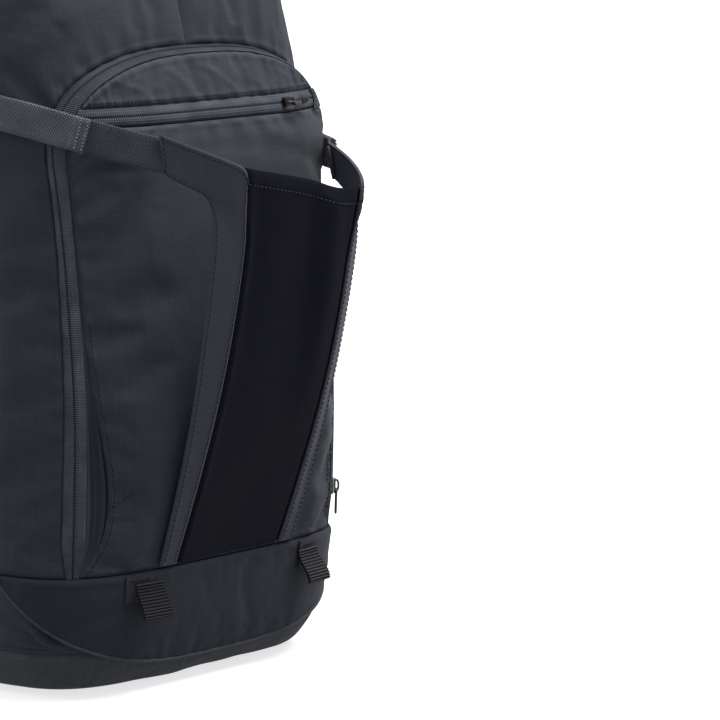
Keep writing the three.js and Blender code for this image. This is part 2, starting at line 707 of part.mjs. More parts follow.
// Shoulder straps, their webbing and ladder locks: `off` is the distance from the back panel's face
const BACK_OUT = 0.3 * BACK_PAD;
const SHOULDER_PATH = [
  { x: 47, off: 3.3, z: 365 },
  { x: 47.5, off: 7, z: 391 },
  { x: 50, off: 19, z: 412 },
  { x: 54, off: 41, z: 417 },
  { x: 62, off: 63, z: 393 },
  { x: 70, off: 75, z: 345 },
  { x: 79, off: 75, z: 287 },
  { x: 88, off: 64, z: 229 },
];
const TAIL_PATH = [
  { x: 91.5, off: 58, z: 203 },
  { x: 94, off: 47, z: 157 },
  { x: 96, off: 25, z: 102 },
  { x: 96, off: 7, z: 69 },
  { x: 91, off: 2.2, z: 55 },
  { x: 88, off: 2, z: 37 },
];
function backFace(x, z) {
  return bodyPoint(outlineAt(z).total - Math.abs(x), z, BACK_OUT).y;
}
function pathPoints(rows, side) {
  return rows.map((row) => new THREE.Vector3(side * row.x, backFace(row.x, row.z) + row.off, row.z));
}
const shoulderShape = (t) => ({
  half: mix(STRAP_WIDTH / 2, STRAP_WEBBING / 2 + 4, smooth((t - 0.72) / 0.28)),
  deep: mix(2.5, STRAP_THICK / 2, smooth(t / 0.16)),
});
const tailShape = () => ({ half: STRAP_WEBBING / 2, deep: WEBBING_THICK / 2 });
const LOCK_LENGTH = 24.6;

for (const side of [LEFT, RIGHT]) {
  const acrossBack = () => new THREE.Vector3(1, 0, side * 0.16);
  add(mirroredName('shoulder_strap', side),
    strap(pathPoints(SHOULDER_PATH, side), 18, PADDED_SECTION, acrossBack, shoulderShape), 'padding');
  add(mirroredName('shoulder_webbing', side),
    strap(pathPoints(TAIL_PATH, side), 14, FLAT_SECTION, acrossBack, tailShape), 'webbing');
  const from = pathPoints(SHOULDER_PATH, side).at(-1);
  const to = pathPoints(TAIL_PATH, side)[0];
  const along = to.clone().sub(from).normalize();
  const across = acrossBack().addScaledVector(along, -acrossBack().dot(along)).normalize();
  const face = along.clone().cross(across);
  const basis = new THREE.Matrix4().makeBasis(along, across, face);
  const lock = roundedPlate(LOCK_LENGTH, STRAP_WEBBING + 7, 2.5, 4, 4.5).translate(0, 0, -2);
  add(mirroredName('ladder_lock', side), lock.applyMatrix4(basis.setPosition(from.lerp(to, 0.5))), 'plastic');
}

// Haul loop at the top of the back
const HAUL_FOOT = 397;
const HAUL_PATH = [
  { x: -26, off: 2.2, z: HAUL_FOOT },
  { x: -26, off: 2.6, z: 418 },
  { x: -20, off: 5, z: 441 },
  { x: 0, off: 7, z: 453 },
  { x: 20, off: 5, z: 441 },
  { x: 26, off: 2.6, z: 418 },
  { x: 26, off: 2.2, z: HAUL_FOOT },
];
const haulPoint = (row) => new THREE.Vector3(row.x, backFace(row.x, HAUL_FOOT) + row.off, row.z);
const haulAcross = (t, middle) => new THREE.Vector3(middle.x, 0, Math.max(0, middle.z - 418));
const haulShape = () => ({ half: 8, deep: 1.6 });
add('haul_loop', strap(HAUL_PATH.map(haulPoint), 24, FLAT_SECTION, haulAcross, haulShape), 'webbing');

export default part;
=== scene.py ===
import math

import bpy
import numpy as np
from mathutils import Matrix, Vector


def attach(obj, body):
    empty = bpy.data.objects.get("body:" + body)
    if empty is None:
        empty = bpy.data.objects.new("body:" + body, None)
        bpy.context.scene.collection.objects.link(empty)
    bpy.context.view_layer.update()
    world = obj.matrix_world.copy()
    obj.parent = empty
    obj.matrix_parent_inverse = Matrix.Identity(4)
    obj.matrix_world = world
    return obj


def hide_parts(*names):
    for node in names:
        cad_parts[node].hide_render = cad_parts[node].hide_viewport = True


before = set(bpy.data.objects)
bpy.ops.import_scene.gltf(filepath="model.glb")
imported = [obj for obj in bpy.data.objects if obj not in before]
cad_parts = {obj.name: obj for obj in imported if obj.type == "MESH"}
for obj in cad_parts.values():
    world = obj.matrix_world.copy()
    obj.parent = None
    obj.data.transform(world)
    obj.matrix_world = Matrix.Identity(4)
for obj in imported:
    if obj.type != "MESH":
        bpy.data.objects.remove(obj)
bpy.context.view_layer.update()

# Looks of the mountain bike backpack. Lengths are in millimetres until a mesh is made, in the part's frame.
MM = 0.001
LEFT = -1
RIGHT = 1
SIDE_NAMES = {LEFT: "left", RIGHT: "right"}

# Body sections from the base up: height, half width, back face, front face
SECTIONS = np.array([
    (0, 102, 51, -57),
    (5, 116, 63, -74),
    (27, 126, 70.5, -85),
    (73, 132, 74, -90),
    (157, 133, 75, -92),
    (247, 131, 75, -86),
    (312, 127, 74, -77),
    (362, 123, 72, -65),
    (422, 114, 68, -48),
    (447, 103, 61, -36),
    (463, 85, 51, -20),
    (471, 58, 38, 0),
], dtype=float)
WIDEST_Y = 5
BODY_CENTRE = (0, WIDEST_Y, 217)
FRONT_POWER = 4
BACK_POWER = 5
TOP = 473
CLOTH_DEEP = 1.2
SEAM = 0.15
BASE_SEAM = 27
LOWER_SEAM = 73
LID_SEAM = 422
BACK_SEAM_INSET = 14
BACK_OUT = 2.4

# Arched zip and front compartment
ZIP_HALF = 5
ZIP_LEG_HALF = 7
ZIP_TAPER = 3
ZIP_TAPER_BELOW = 22
ZIP_TAPER_REACH = 24
LEG_LOW = 117
LEG_HIGH = 114.5
SPRING = 307
RISE = 66.7
ARCH_POWER = 2.6
CROWN_SQUASH = 0.39
LEG_SHARE = 0.6
SWELL = 16
SWELL_FROM_LEG = 45
SWELL_FROM_CROWN = 40
SWELL_FROM_FOOT = 85
LEDGE_LEG = 3
LEDGE_TOP = 11
LEDGE_FROM = 267
LEDGE_REACH = 70
LEDGE_FOOT = 30
POCKET_Z = 339
POCKET_HALF = 5.5
GUSSET = 12
GUSSET_POWER = 2.5
GUSSET_TOP = 257

# Lower band, carrier flap and webbing
BAND_LIFT = 1.2
BAND_EDGE_Z = 15
BAND_EDGE_RISE = 32
BAND_EDGE_AT = 137
BAND_END = 162
HEM_Z = 302.5
HEM_TILT = -0.186
HEM_Y = -154
PANEL_HALF = 50
FLAP_FOOT_Z = 75
FLAP_FOOT_Y = -91.8
FLAP_FOOT_HALF = 45.5
FLAP_NARROWS_BY = 0.22
FLAP_BOW = 9
WEBBING_HALF = 10
WEBBING_DEEP = 0.9
TAB_RIBS = 11
TAB_LENGTH = 18.5
TAB_BELOW_SEAM = 6


def smooth(t):
    c = np.clip(t, 0, 1)
    return c * c * (3 - 2 * c)


def mix(a, b, t):
    return a + (b - a) * t


# Body surface from a table of outlines
def section_slopes():
    steps = np.diff(SECTIONS[:, 1:], axis=0) / np.diff(SECTIONS[:, :1], axis=0)
    slopes = np.zeros_like(SECTIONS[:, 1:])
    slopes[0] = steps[0]
    slopes[-1] = steps[-1]
    before, after = steps[:-1], steps[1:]
    same_way = before * after > 0
    total = np.where(same_way, before + after, 1)
    slopes[1:-1] = np.where(same_way, 2 * before * after / total, 0)
    return slopes


SLOPES = section_slopes()


def section_at(z):
    z = np.clip(np.asarray(z, dtype=float), SECTIONS[0, 0], SECTIONS[-1, 0])
    k = np.clip(np.searchsorted(SECTIONS[:, 0], z, side="right") - 1, 0, len(SECTIONS) - 2)
    span = SECTIONS[k + 1, 0] - SECTIONS[k, 0]
    t = (z - SECTIONS[k, 0]) / span
    values = []
    for column in range(3):
        a = SECTIONS[k, column + 1] * (1 - 3 * t**2 + 2 * t**3)
        b = SECTIONS[k + 1, column + 1] * (3 * t**2 - 2 * t**3)
        lean_a = SLOPES[k, column] * span * (t - 2 * t**2 + t**3)
        lean_b = SLOPES[k + 1, column] * span * (t**3 - t**2)
        values.append(a + b + lean_a + lean_b)
    return values


ROW_STEP = 0.5
OUTLINE_COLUMNS = 601
OUTLINE_ANGLES = 1201


def outline_table():
    heights = np.arange(0, SECTIONS[-1, 0] + ROW_STEP / 2, ROW_STEP)
    half, back, front = (column[:, None] for column in section_at(heights))
    angle = np.linspace(-np.pi / 2, np.pi / 2, OUTLINE_ANGLES)[None, :]
    sine = np.sin(angle)
    cosine = np.maximum(0, np.cos(angle))
    power = np.where(sine < 0, FRONT_POWER, BACK_POWER)
    depth = np.where(sine < 0, WIDEST_Y - front, back - WIDEST_Y)
    x = half * cosine ** (2 / power)
    y = WIDEST_Y + depth * np.sign(sine) * np.abs(sine) ** (2 / power)
    lengths = np.hypot(np.diff(x, axis=1), np.diff(y, axis=1)).cumsum(axis=1)
    lengths = np.hstack([np.zeros((len(heights), 1)), lengths])
    totals = lengths[:, -1]
    table = np.zeros((len(heights), OUTLINE_COLUMNS, 4))
    for row in range(len(heights)):
        even = np.linspace(0, totals[row], OUTLINE_COLUMNS)
        table[row, :, 0] = np.interp(even, lengths[row], x[row])
        table[row, :, 1] = np.interp(even, lengths[row], y[row])
    run_x = np.gradient(table[:, :, 0], axis=1)
    run_y = np.gradient(table[:, :, 1], axis=1)
    size = np.hypot(run_x, run_y)
    table[:, :, 2] = run_y / size
    table[:, :, 3] = -run_x / size
    return table, totals


OUTLINES, TOTALS = outline_table()


def total_at(z):
    return np.interp(z, np.arange(len(TOTALS)) * ROW_STEP, TOTALS)


def back_seam(z):
    return total_at(z) - (section_at(z)[0] - BACK_SEAM_INSET)


# A place on the body: s is the distance round from the middle of the front, positive to the right
def body(s, z, lift=0.0):
    s, z, lift = (np.asarray(value, dtype=float) for value in np.broadcast_arrays(s, z, lift))
    row = np.clip(z, 0, SECTIONS[-1, 0]) / ROW_STEP
    i = np.clip(row.astype(int), 0, len(TOTALS) - 2)
    f = row - i
    total = mix(TOTALS[i], TOTALS[i + 1], f)
    past = np.abs(s) > total
    distance = np.where(past, 2 * total - np.abs(s), np.abs(s))
    side = np.where(s < 0, -1, 1) * np.where(past, -1, 1)
    column = np.clip(distance / total, 0, 1) * (OUTLINE_COLUMNS - 1)
    j = np.clip(column.astype(int), 0, OUTLINE_COLUMNS - 2)
    g = (column - j)[..., None]
    f = f[..., None]
    low = mix(OUTLINES[i, j], OUTLINES[i, j + 1], g)
    high = mix(OUTLINES[i + 1, j], OUTLINES[i + 1, j + 1], g)
    found = mix(low, high, f)
    x = side * (found[..., 0] + found[..., 2] * lift)
    y = found[..., 1] + found[..., 3] * lift
    return np.stack([x, y, z], axis=-1)


# Arched zip lines and the compartment's swell
def zip_half(z):
    leg = mix(ZIP_LEG_HALF, ZIP_HALF, smooth((z - LOWER_SEAM) / (SPRING - LOWER_SEAM)))
    return leg - ZIP_TAPER * smooth((LOWER_SEAM + ZIP_TAPER_BELOW - z) / ZIP_TAPER_REACH)


def leg_at(z):
    return mix(LEG_LOW, LEG_HIGH, smooth((z - LOWER_SEAM) / (SPRING - LOWER_SEAM)))


def arch_half(z, offset):
    q = np.clip((z - SPRING) / (RISE + CROWN_SQUASH * offset), 0, 1)
    curved = (LEG_HIGH + offset) * (1 - q**ARCH_POWER) ** (1 / ARCH_POWER)
    return np.where(z <= SPRING, leg_at(z) + offset, curved)


def arch_height(s, offset):
    q = np.clip(np.abs(s) / (LEG_HIGH + offset), 0, 1)
    return SPRING + (RISE + CROWN_SQUASH * offset) * (1 - q**ARCH_POWER) ** (1 / ARCH_POWER)


def arch_line(t, share):
    straight_z = mix(LOWER_SEAM + SEAM, SPRING, np.clip(t / LEG_SHARE, 0, 1))
    offset = share * zip_half(straight_z) + np.sign(share) * SEAM * (np.abs(share) > 1)
    angle = np.pi / 2 * np.clip((t - LEG_SHARE) / (1 - LEG_SHARE), 0, 1)
    across = np.maximum(0, np.cos(angle)) ** (2 / ARCH_POWER)
    up = np.sin(angle) ** (2 / ARCH_POWER)
    s = np.where(t <= LEG_SHARE, leg_at(straight_z) + offset, (LEG_HIGH + offset) * across)
    z = np.where(t <= LEG_SHARE, straight_z, SPRING + (RISE + CROWN_SQUASH * offset) * up)
    return s, z


def ledge(z):
    top = smooth((z - LEDGE_FROM) / LEDGE_REACH)
    return mix(LEDGE_LEG, LEDGE_TOP, top) * smooth((z - LOWER_SEAM) / LEDGE_FOOT)


def front_lift(s, z):
    from_leg = smooth((arch_half(z, -zip_half(z)) - np.abs(s)) / SWELL_FROM_LEG)
    from_crown = smooth((arch_height(s, -ZIP_HALF) - z) / SWELL_FROM_CROWN)
    from_foot = smooth((z - LOWER_SEAM) / SWELL_FROM_FOOT)
    return ledge(z) + np.maximum(0, SWELL - ledge(z)) * from_leg * from_crown * from_foot


def gusset_width(z):
    down = np.clip((GUSSET_TOP - z) / (GUSSET_TOP - LOWER_SEAM), 0, 1)
    return GUSSET * np.sin(np.pi * down**GUSSET_POWER)


def panel_edge(z):
    return arch_half(z, -zip_half(z)) - SEAM - gusset_width(z)


# Seeded value noise in three dimensions, about -1 to 1
def lattice(ix, iy, iz, seed):
    n = (ix * 374761393 + iy * 668265263 + iz * 1440662683 + seed * 974711) & 0xFFFFFFFF
    n = ((n ^ (n >> 13)) * 1274126177) & 0xFFFFFFFF
    n = n ^ (n >> 16)
    return (n & 0xFFFF) / 32767.5 - 1


def noise(points, size, seed):
    p = points / size
    base = np.floor(p).astype(np.int64)
    f = p - base
    f = f * f * (3 - 2 * f)
    total = 0
    for corner in range(8):
        step = np.array([corner & 1, (corner >> 1) & 1, corner >> 2])
        weight = np.prod(np.where(step, f, 1 - f), axis=-1)
        at = base + step
        total = total + weight * lattice(at[..., 0], at[..., 1], at[..., 2], seed)
    return total


# Grids of points: rows run along v, columns along u
def grid(columns, rows):
    return np.meshgrid(np.linspace(0, 1, columns + 1), np.linspace(0, 1, rows + 1))


# Grid lines drawn closer together towards both ends
def edge_fine(t, share=0.7):
    return t - share * np.sin(2 * np.pi * t) / (2 * np.pi)


def unit(vectors):
    return vectors / np.maximum(1e-9, np.linalg.norm(vectors, axis=-1, keepdims=True))


def grid_normals(points, centre):
    normals = unit(np.cross(np.gradient(points, axis=1), np.gradient(points, axis=0)))
    agree = np.sum(normals * (points - np.asarray(centre)), axis=-1)
    return -normals if np.mean(agree) < 0 else normals


def run_lengths(points, axis):
    steps = np.linalg.norm(np.diff(points, axis=axis), axis=-1)
    start = np.zeros_like(np.take(steps, [0], axis=axis))
    return np.concatenate([start, np.cumsum(steps, axis=axis)], axis=axis)


def edge_distance(points, edges):
    along_u = run_lengths(points, 1)
    along_v = run_lengths(points, 0)
    distances = {
        "l": along_u,
        "r": along_u[:, -1:] - along_u,
        "b": along_v,
        "t": along_v[-1:] - along_v,
    }
    nearest = np.full(points.shape[:2], 1e6)
    for edge in edges:
        nearest = np.minimum(nearest, distances[edge])
    return nearest


# Folds: place, tilt in degrees, reach along, width across, height. A hollow runs beside each ridge.
FOLD_BEND = 0.12
HOLLOW_SHARE = 0.5
HOLLOW_OFF = 2
HOLLOW_WIDE = 1.6


def folds(s, z, table):
    total = np.zeros_like(s)
    for place_s, place_z, tilt, reach, width, height in table:
        c, d = math.cos(math.radians(tilt)), math.sin(math.radians(tilt))
        along = (s - place_s) * c + (z - place_z) * d
        across = (z - place_z) * c - (s - place_s) * d + FOLD_BEND * reach * (along / reach) ** 2
        hollow = HOLLOW_SHARE * np.exp(-((across - HOLLOW_OFF * width) / (HOLLOW_WIDE * width)) ** 2)
        ridge = np.exp(-(across / width) ** 2)
        total += height * (ridge - hollow) * np.exp(-(along / reach) ** 2)
    return total


# Meshes
def grid_faces(rows, columns, start, flip):
    i, j = np.meshgrid(np.arange(columns), np.arange(rows))
    a = start + j * (columns + 1) + i
    quads = np.stack([a, a + 1, a + columns + 2, a + columns + 1], axis=-1).reshape(-1, 4)
    return quads[:, ::-1] if flip else quads


# Faces of a closed sheet: an outer grid, an inner grid and the rim between them
def sheet_faces(rows, columns):
    layer = (rows + 1) * (columns + 1)
    bottom = np.arange(columns + 1)
    top = rows * (columns + 1) + bottom
    left = np.arange(rows + 1) * (columns + 1)
    right = left + columns
    loop = np.concatenate([bottom[:-1], right[:-1], top[:0:-1], left[:0:-1]])
    following = np.roll(loop, -1)
    rim = np.stack([following, loop, loop + layer, following + layer], axis=-1)
    return np.vstack([
        grid_faces(rows, columns, 0, False),
        grid_faces(rows, columns, layer, True),
        rim,
    ])


# Faces between rings of points, with a cap at each end unless the rings close on themselves
def ring_faces(rings, count, start=0, closed=False):
    faces = []
    for k in range(rings if closed else rings - 1):
        near = start + k * count
        far = start + (k + 1) % rings * count
        for i in range(count):
            j = (i + 1) % count
            faces.append((near + i, near + j, far + j, far + i))
    if not closed:
        last = start + (rings - 1) * count
        faces.append(tuple(range(start + count - 1, start - 1, -1)))
        faces.append(tuple(range(last, last + count)))
    return faces


def volume_sign(points, faces):
    quads = np.asarray(faces)
    a, b, c, d = (points[quads[:, k]] for k in range(4))
    return np.sum(a * np.cross(b, c)) + np.sum(a * np.cross(c, d))


# A finished piece: a mesh with its look, in place of the solids that are named
def make_piece(name, points, faces, uv, look, nodes, sharp=40):
    mesh = bpy.data.meshes.new(name)
    mesh.from_pydata((points * MM).tolist(), [], faces)
    layer = mesh.uv_layers.new(name="UVMap")
    corner = np.zeros(len(mesh.loops), dtype=np.int32)
    mesh.loops.foreach_get("vertex_index", corner)
    layer.data.foreach_set("uv", np.asarray(uv, dtype=np.float32)[corner].ravel())
    mesh.polygons.foreach_set("use_smooth", np.ones(len(mesh.polygons), dtype=bool))
    mesh.update()
    mesh.set_sharp_from_angle(angle=math.radians(sharp))
    mesh.materials.append(look.material)
    obj = bpy.data.objects.new(name, mesh)
    bpy.context.collection.objects.link(obj)
    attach(obj, "root")
    if nodes:
        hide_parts(*nodes)
    return obj


# A closed sheet under an outer grid: its depth, and the two lengths that its weave follows
def sheet_piece(name, outer, deep, lengths, look, node, centre=BODY_CENTRE):
    normals = grid_normals(outer, centre)
    points = np.vstack([outer.reshape(-1, 3), (outer - normals * deep).reshape(-1, 3)])
    faces = sheet_faces(outer.shape[0] - 1, outer.shape[1] - 1)
    if volume_sign(points, faces) < 0:
        faces = faces[:, ::-1]
    uv = np.stack(lengths, axis=-1).reshape(-1, 2)
    return make_piece(name, points, faces.tolist(), np.vstack([uv, uv]), look, [node]), normals


# A tube through loops of points
def tube_piece(name, loops, uv, look, *nodes):
    points = loops.reshape(-1, 3)
    faces = ring_faces(*loops.shape[:2])
    quads = faces[:-2]
    if volume_sign(points, quads) < 0:
        faces = [face[::-1] for face in faces]
    return make_piece(name, points, faces, uv.reshape(-1, 2), look, nodes, sharp=50)


# Spokes round a ring, from one direction towards another
def spokes(side, up, count):
    turn = np.linspace(0, 2 * np.pi, count, endpoint=False)[:, None]
    return np.cos(turn) * side + np.sin(turn) * up


# A piece gathered from runs of rings
class Rings:
    def __init__(self):
        self.points = []
        self.faces = []

    def run(self, rings, closed=False):
        self.faces.extend(ring_faces(len(rings), len(rings[0]), len(self.points), closed))
        for ring in rings:
            self.points.extend(ring)

    def piece(self, name, look, *nodes, sharp=40):
        points = np.array(self.points)
        return make_piece(name, points, self.faces, points[:, :2], look, nodes, sharp)


# Stitches: short rounded threads along a line
STITCH_RINGS = ((-1.0, 0.5), (-0.7, 1.0), (0.7, 1.0), (1.0, 0.5))
STITCH_SIDES = 6
STITCH_SINK = 0.1
STITCH_SHARP = 60


class Stitching(Rings):
    def row(self, line, out, length=2.0, gap=1.2, radius=0.27):
        along = run_lengths(line, 0)
        for start in np.arange(gap, along[-1] - length, length + gap):
            places, lifts = [], []
            for at in (start, start + length):
                lift = unit(np.array([np.interp(at, along, out[:, k]) for k in range(3)]))
                place = np.array([np.interp(at, along, line[:, k]) for k in range(3)])
                places.append(place + lift * (radius - STITCH_SINK))
                lifts.append(lift)
            middle = (places[0] + places[1]) / 2
            axis = (places[1] - places[0]) / 2
            spread_out = radius * spokes(unit(np.cross(axis, lifts[0])), lifts[0], STITCH_SIDES)
            self.run([middle + axis * reach + spread_out * swell for reach, swell in STITCH_RINGS])


thread_rows = Stitching()
light_rows = Stitching()
fold_rows = Stitching()


# Lines on a finished grid, at a distance from one of its edges
def edge_line(points, normals, edge, distance, start=0.0, end=1.0):
    if edge in "lr":
        points, normals = points.swapaxes(0, 1), normals.swapaxes(0, 1)
    if edge in "rt":
        points, normals = points[::-1], normals[::-1]
    along = run_lengths(points, 0)
    count = points.shape[1]
    line, out = [], []
    for k in range(int(start * (count - 1)), int(end * (count - 1)) + 1):
        at = np.interp(distance, along[:, k], np.arange(len(along)))
        i = min(int(at), len(along) - 2)
        line.append(mix(points[i, k], points[i + 1, k], at - i))
        out.append(mix(normals[i, k], normals[i + 1, k], at - i))
    return np.array(line), unit(np.array(out))


# Cloth held at its sewn edges: a little spare length makes it buckle, and pressure from inside sets which way
SETTLE_SCALE = 0.01
SETTLE_FRAMES = 16
SETTLE_STEP = 3
SETTLE_CAP = 3.0
SPARE_LENGTH = 0.012
INNER_PRESSURE = 0.25


def settle(points, normals):
    rows, columns = points.shape[0] - 1, points.shape[1] - 1
    mesh = bpy.data.meshes.new("settling")
    quads = grid_faces(rows, columns, 0, False)
    across = np.cross(np.gradient(points, axis=1), np.gradient(points, axis=0))
    if np.mean(np.sum(across * normals, axis=-1)) < 0:
        quads = quads[:, ::-1]
    mesh.from_pydata((points.reshape(-1, 3) * SETTLE_SCALE).tolist(), [], quads.tolist())
    cloth = bpy.data.objects.new("settling", mesh)
    bpy.context.collection.objects.link(cloth)
    held = np.ones(points.shape[:2], dtype=bool)
    held[1:-1, 1:-1] = False
    group = cloth.vertex_groups.new(name="held")
    group.add(np.flatnonzero(held.ravel()).tolist(), 1.0, "REPLACE")
    modifier = cloth.modifiers.new("settling", "CLOTH")
    settings = modifier.settings
    settings.quality = 6
    settings.mass = 0.3
    settings.air_damping = 4
    settings.tension_stiffness = 20
    settings.compression_stiffness = 20
    settings.shear_stiffness = 8
    settings.bending_stiffness = 0.4
    settings.vertex_group_mass = "held"
    settings.shrink_min = -SPARE_LENGTH
    settings.use_pressure = True
    settings.uniform_pressure_force = INNER_PRESSURE
    settings.effector_weights.gravity = 0
    modifier.collision_settings.use_collision = False
    modifier.point_cache.frame_start = 1
    modifier.point_cache.frame_end = SETTLE_FRAMES
    scene = bpy.context.scene
    for step in range(1, SETTLE_FRAMES + 1):
        scene.frame_set(step)
    settled = cloth.evaluated_get(bpy.context.evaluated_depsgraph_get())
    found = np.zeros(len(settled.data.vertices) * 3)
    settled.data.vertices.foreach_get("co", found)
    moved = found.reshape(points.shape) / SETTLE_SCALE - points
    bpy.data.objects.remove(cloth)
    bpy.data.meshes.remove(mesh)
    scene.frame_set(1)
    return SETTLE_CAP * np.tanh(np.sum(moved * normals, axis=-1) / SETTLE_CAP)


# A coarse grid of values spread smoothly over a finer one
def spread(values, rows, columns):
    def along(table, count):
        last = table.shape[0] - 1
        at = np.linspace(0, last, count + 1)
        i = np.clip(at.astype(int), 0, last - 1)
        t = (at - i)[:, None]
        a, b = table[np.maximum(i - 1, 0)], table[i]
        c, d = table[i + 1], table[np.minimum(i + 2, last)]
        curve = (2 * a - 5 * b + 4 * c - d) * t**2 + (3 * b - a - 3 * c + d) * t**3
        return b + 0.5 * ((c - a) * t + curve)

    return along(along(values, rows).T, columns).T


# A centripetal Catmull-Rom curve through points
class Curve:
    def __init__(self, points):
        self.points = np.asarray(points, dtype=float)

    def point(self, t):
        p = self.points
        last = len(p) - 1
        at = min(max(t, 0.0), 1.0) * last
        k = min(int(at), last - 1)
        w = at - k
        before = p[k - 1] if k > 0 else 2 * p[0] - p[1]
        after = p[k + 2] if k + 2 <= last else 2 * p[last] - p[last - 1]
        knots = [before, p[k], p[k + 1], after]
        gaps = [max(1e-4, np.linalg.norm(knots[i + 1] - knots[i]) ** 0.5) for i in range(3)]
        steps = [(knots[i + 1] - knots[i]) / gaps[i] for i in range(3)]
        lean_a = gaps[1] * (steps[0] - (knots[2] - knots[0]) / (gaps[0] + gaps[1]) + steps[1])
        lean_b = gaps[1] * (steps[1] - (knots[3] - knots[1]) / (gaps[1] + gaps[2]) + steps[2])
        rise = knots[2] - knots[1]
        squared = 3 * rise - 2 * lean_a - lean_b
        cubed = lean_a + lean_b - 2 * rise
        return knots[1] + lean_a * w + squared * w**2 + cubed * w**3

    def tangent(self, t):
        return unit(self.point(min(1, t + 1e-3)) - self.point(max(0, t - 1e-3)))


# Rounded cross-sections as closed loops of (across, face), each from -1 to 1
def flat_section(count=9, rounding=0.09):
    across = np.linspace(-1 + rounding, 1 - rounding, count)
    eased = 1 - 0.3 * rounding
    top = [(a, 1.0) for a in across]
    right = [(eased, 0.7), (1.0, 0.0), (eased, -0.7)]
    return np.array(top + right + [(-a, -b) for a, b in top + right])


def padded_section(count=15, binding=0.14):
    across = np.linspace(-0.98, 0.98, count)
    crown = np.maximum(binding, (1 - np.abs(across / 0.92).clip(0, 1) ** 2.6) ** 0.5)
    top = list(zip(across, crown)) + [(1.0, 0.0)]
    return np.array(top + [(-a, -b) for a, b in top])


FLAT = flat_section()
PADDED = padded_section()


# A strap along a curve: across(middle) gives its width direction, shape(t) its half width and half thickness
def strap_piece(name, curve, section, across, shape, steps, look, node):
    loops, uv = [], []
    run = 0.0
    previous = curve.point(0)
    for t in np.linspace(0, 1, steps + 1):
        middle = curve.point(t)
        along = curve.tangent(t)
        side = across(middle)
        side = unit(side - along * np.dot(side, along))
        face = np.cross(along, side)
        half, deep = shape(t)
        run += np.linalg.norm(middle - previous)
        previous = middle
        loops.append(middle + section[:, :1] * side * half + section[:, 1:] * face * deep)
        around = half * np.where(section[:, 1] >= 0, section[:, 0], section[:, 0] + 4)
        uv.append(np.stack([around, np.full(len(section), run)], axis=-1))
    return tube_piece(name, np.array(loops), np.array(uv), look, node)


# Nodes: each input takes a value or a link
def connect(tree, node, inputs):
    for socket, value in inputs.items():
        if isinstance(value, bpy.types.NodeSocket):
            tree.links.new(value, node.inputs[socket])
        else:
            node.inputs[socket].default_value = value


def add_node(tree, kind, inputs=None):
    node = tree.nodes.new("ShaderNode" + kind)
    connect(tree, node, inputs or {})
    return node


def map_range(tree, value, low, high, at_low, at_high):
    limits = {"Value": value, "From Min": low, "From Max": high, "To Min": at_low, "To Max": at_high}
    return add_node(tree, "MapRange", limits).outputs["Result"]


# A look: a procedural material and the slot that it stands for
class Look:
    def __init__(self, name, slot):
        self.slot = slot
        self.material = bpy.data.materials.new(name)
        self.material.use_nodes = True
        self.tree = self.material.node_tree
        self.tree.nodes.clear()
        self.shader = self.node("BsdfPrincipled")
        self.node("OutputMaterial", {"Surface": self.shader.outputs["BSDF"]})

    def node(self, kind, inputs=None):
        return add_node(self.tree, kind, inputs)

    def finish(self, inputs):
        connect(self.tree, self.shader, inputs)
        return self

    def place(self):
        return self.node("TexCoord").outputs["Object"]

    def uv(self):
        node = self.node("UVMap")
        node.uv_map = "UVMap"
        return node.outputs["UV"]

    def axes(self, vector):
        return self.node("SeparateXYZ", {"Vector": vector}).outputs[:]

    def calc(self, operation, a, b=0.0):
        node = self.node("Math", {0: a, 1: b})
        node.operation = operation
        return node.outputs[0]

    def add(self, a, b):
        return self.calc("ADD", a, b)

    def times(self, a, b):
        return self.calc("MULTIPLY", a, b)

    def wave(self, value, period):
        return self.calc("SINE", self.times(value, 2 * math.pi / period))

    def noise(self, vector, scale, detail, stretch=(1, 1, 1)):
        mapped = self.node("Mapping", {"Scale": stretch, "Vector": vector}).outputs["Vector"]
        return self.node("TexNoise", {"Scale": scale, "Detail": detail, "Vector": mapped}).outputs["Fac"]

    def ramp(self, tone, colour, dark, light):
        node = self.node("ValToRGB", {"Fac": tone})
        for element, position, share in zip(node.color_ramp.elements, (0.3, 0.7), (dark, light)):
            element.position = position
            element.color = (*(channel * share for channel in colour), 1)
        return node.outputs["Color"]

    def bump(self, height, distance, strength, under=None):
        inputs = {"Height": height, "Distance": distance, "Strength": strength}
        if under is not None:
            inputs["Normal"] = under
        return self.node("Bump", inputs).outputs["Normal"]

    # Painted shade: colours that darken over a short climb above a height
    def paint_shade_above(self, colours, place, height, climb=0.03, share=0.42):
        scale = map_range(self.tree, self.axes(place)[2], height, height + climb, 1.0, share)
        node = self.node("VectorMath")
        node.operation = "SCALE"
        connect(self.tree, node, {0: colours, "Scale": scale})
        return node.outputs["Vector"]


# Woven cloth: threads both ways, streaks along the weft, slow colour drift and fine creases
def cloth_look(name, slot, colour, spread=0.14, thread=0.75, rough=0.78, sheen=0.04, crease=0.35, gloss=0.1):
    look = Look(name, slot)
    uv, place = look.uv(), look.place()
    u, v = look.axes(uv)[:2]
    drift = look.noise(place, 28, 4)
    streaks = look.noise(uv, 1.0, 3, (0.04, 0.7, 1))
    weft = look.noise(uv, 1.0, 3, (0.6, 0.04, 1))
    tone = look.add(look.times(look.add(streaks, weft), 0.32), look.times(drift, 0.36))
    weave = look.times(look.wave(u, thread), look.wave(v, thread))
    fine = look.bump(weave, 0.00012, 0.35)
    return look.finish({
        "Base Color": look.ramp(tone, colour, 1 - spread, 1 + spread),
        "Normal": look.bump(look.noise(place, 75, 5), 0.0016, crease, fine),
        "Roughness": look.add(look.times(drift, 0.16), rough - 0.08),
        "Sheen Weight": sheen,
        "Sheen Roughness": 0.45,
        "Specular IOR Level": gloss,
    })


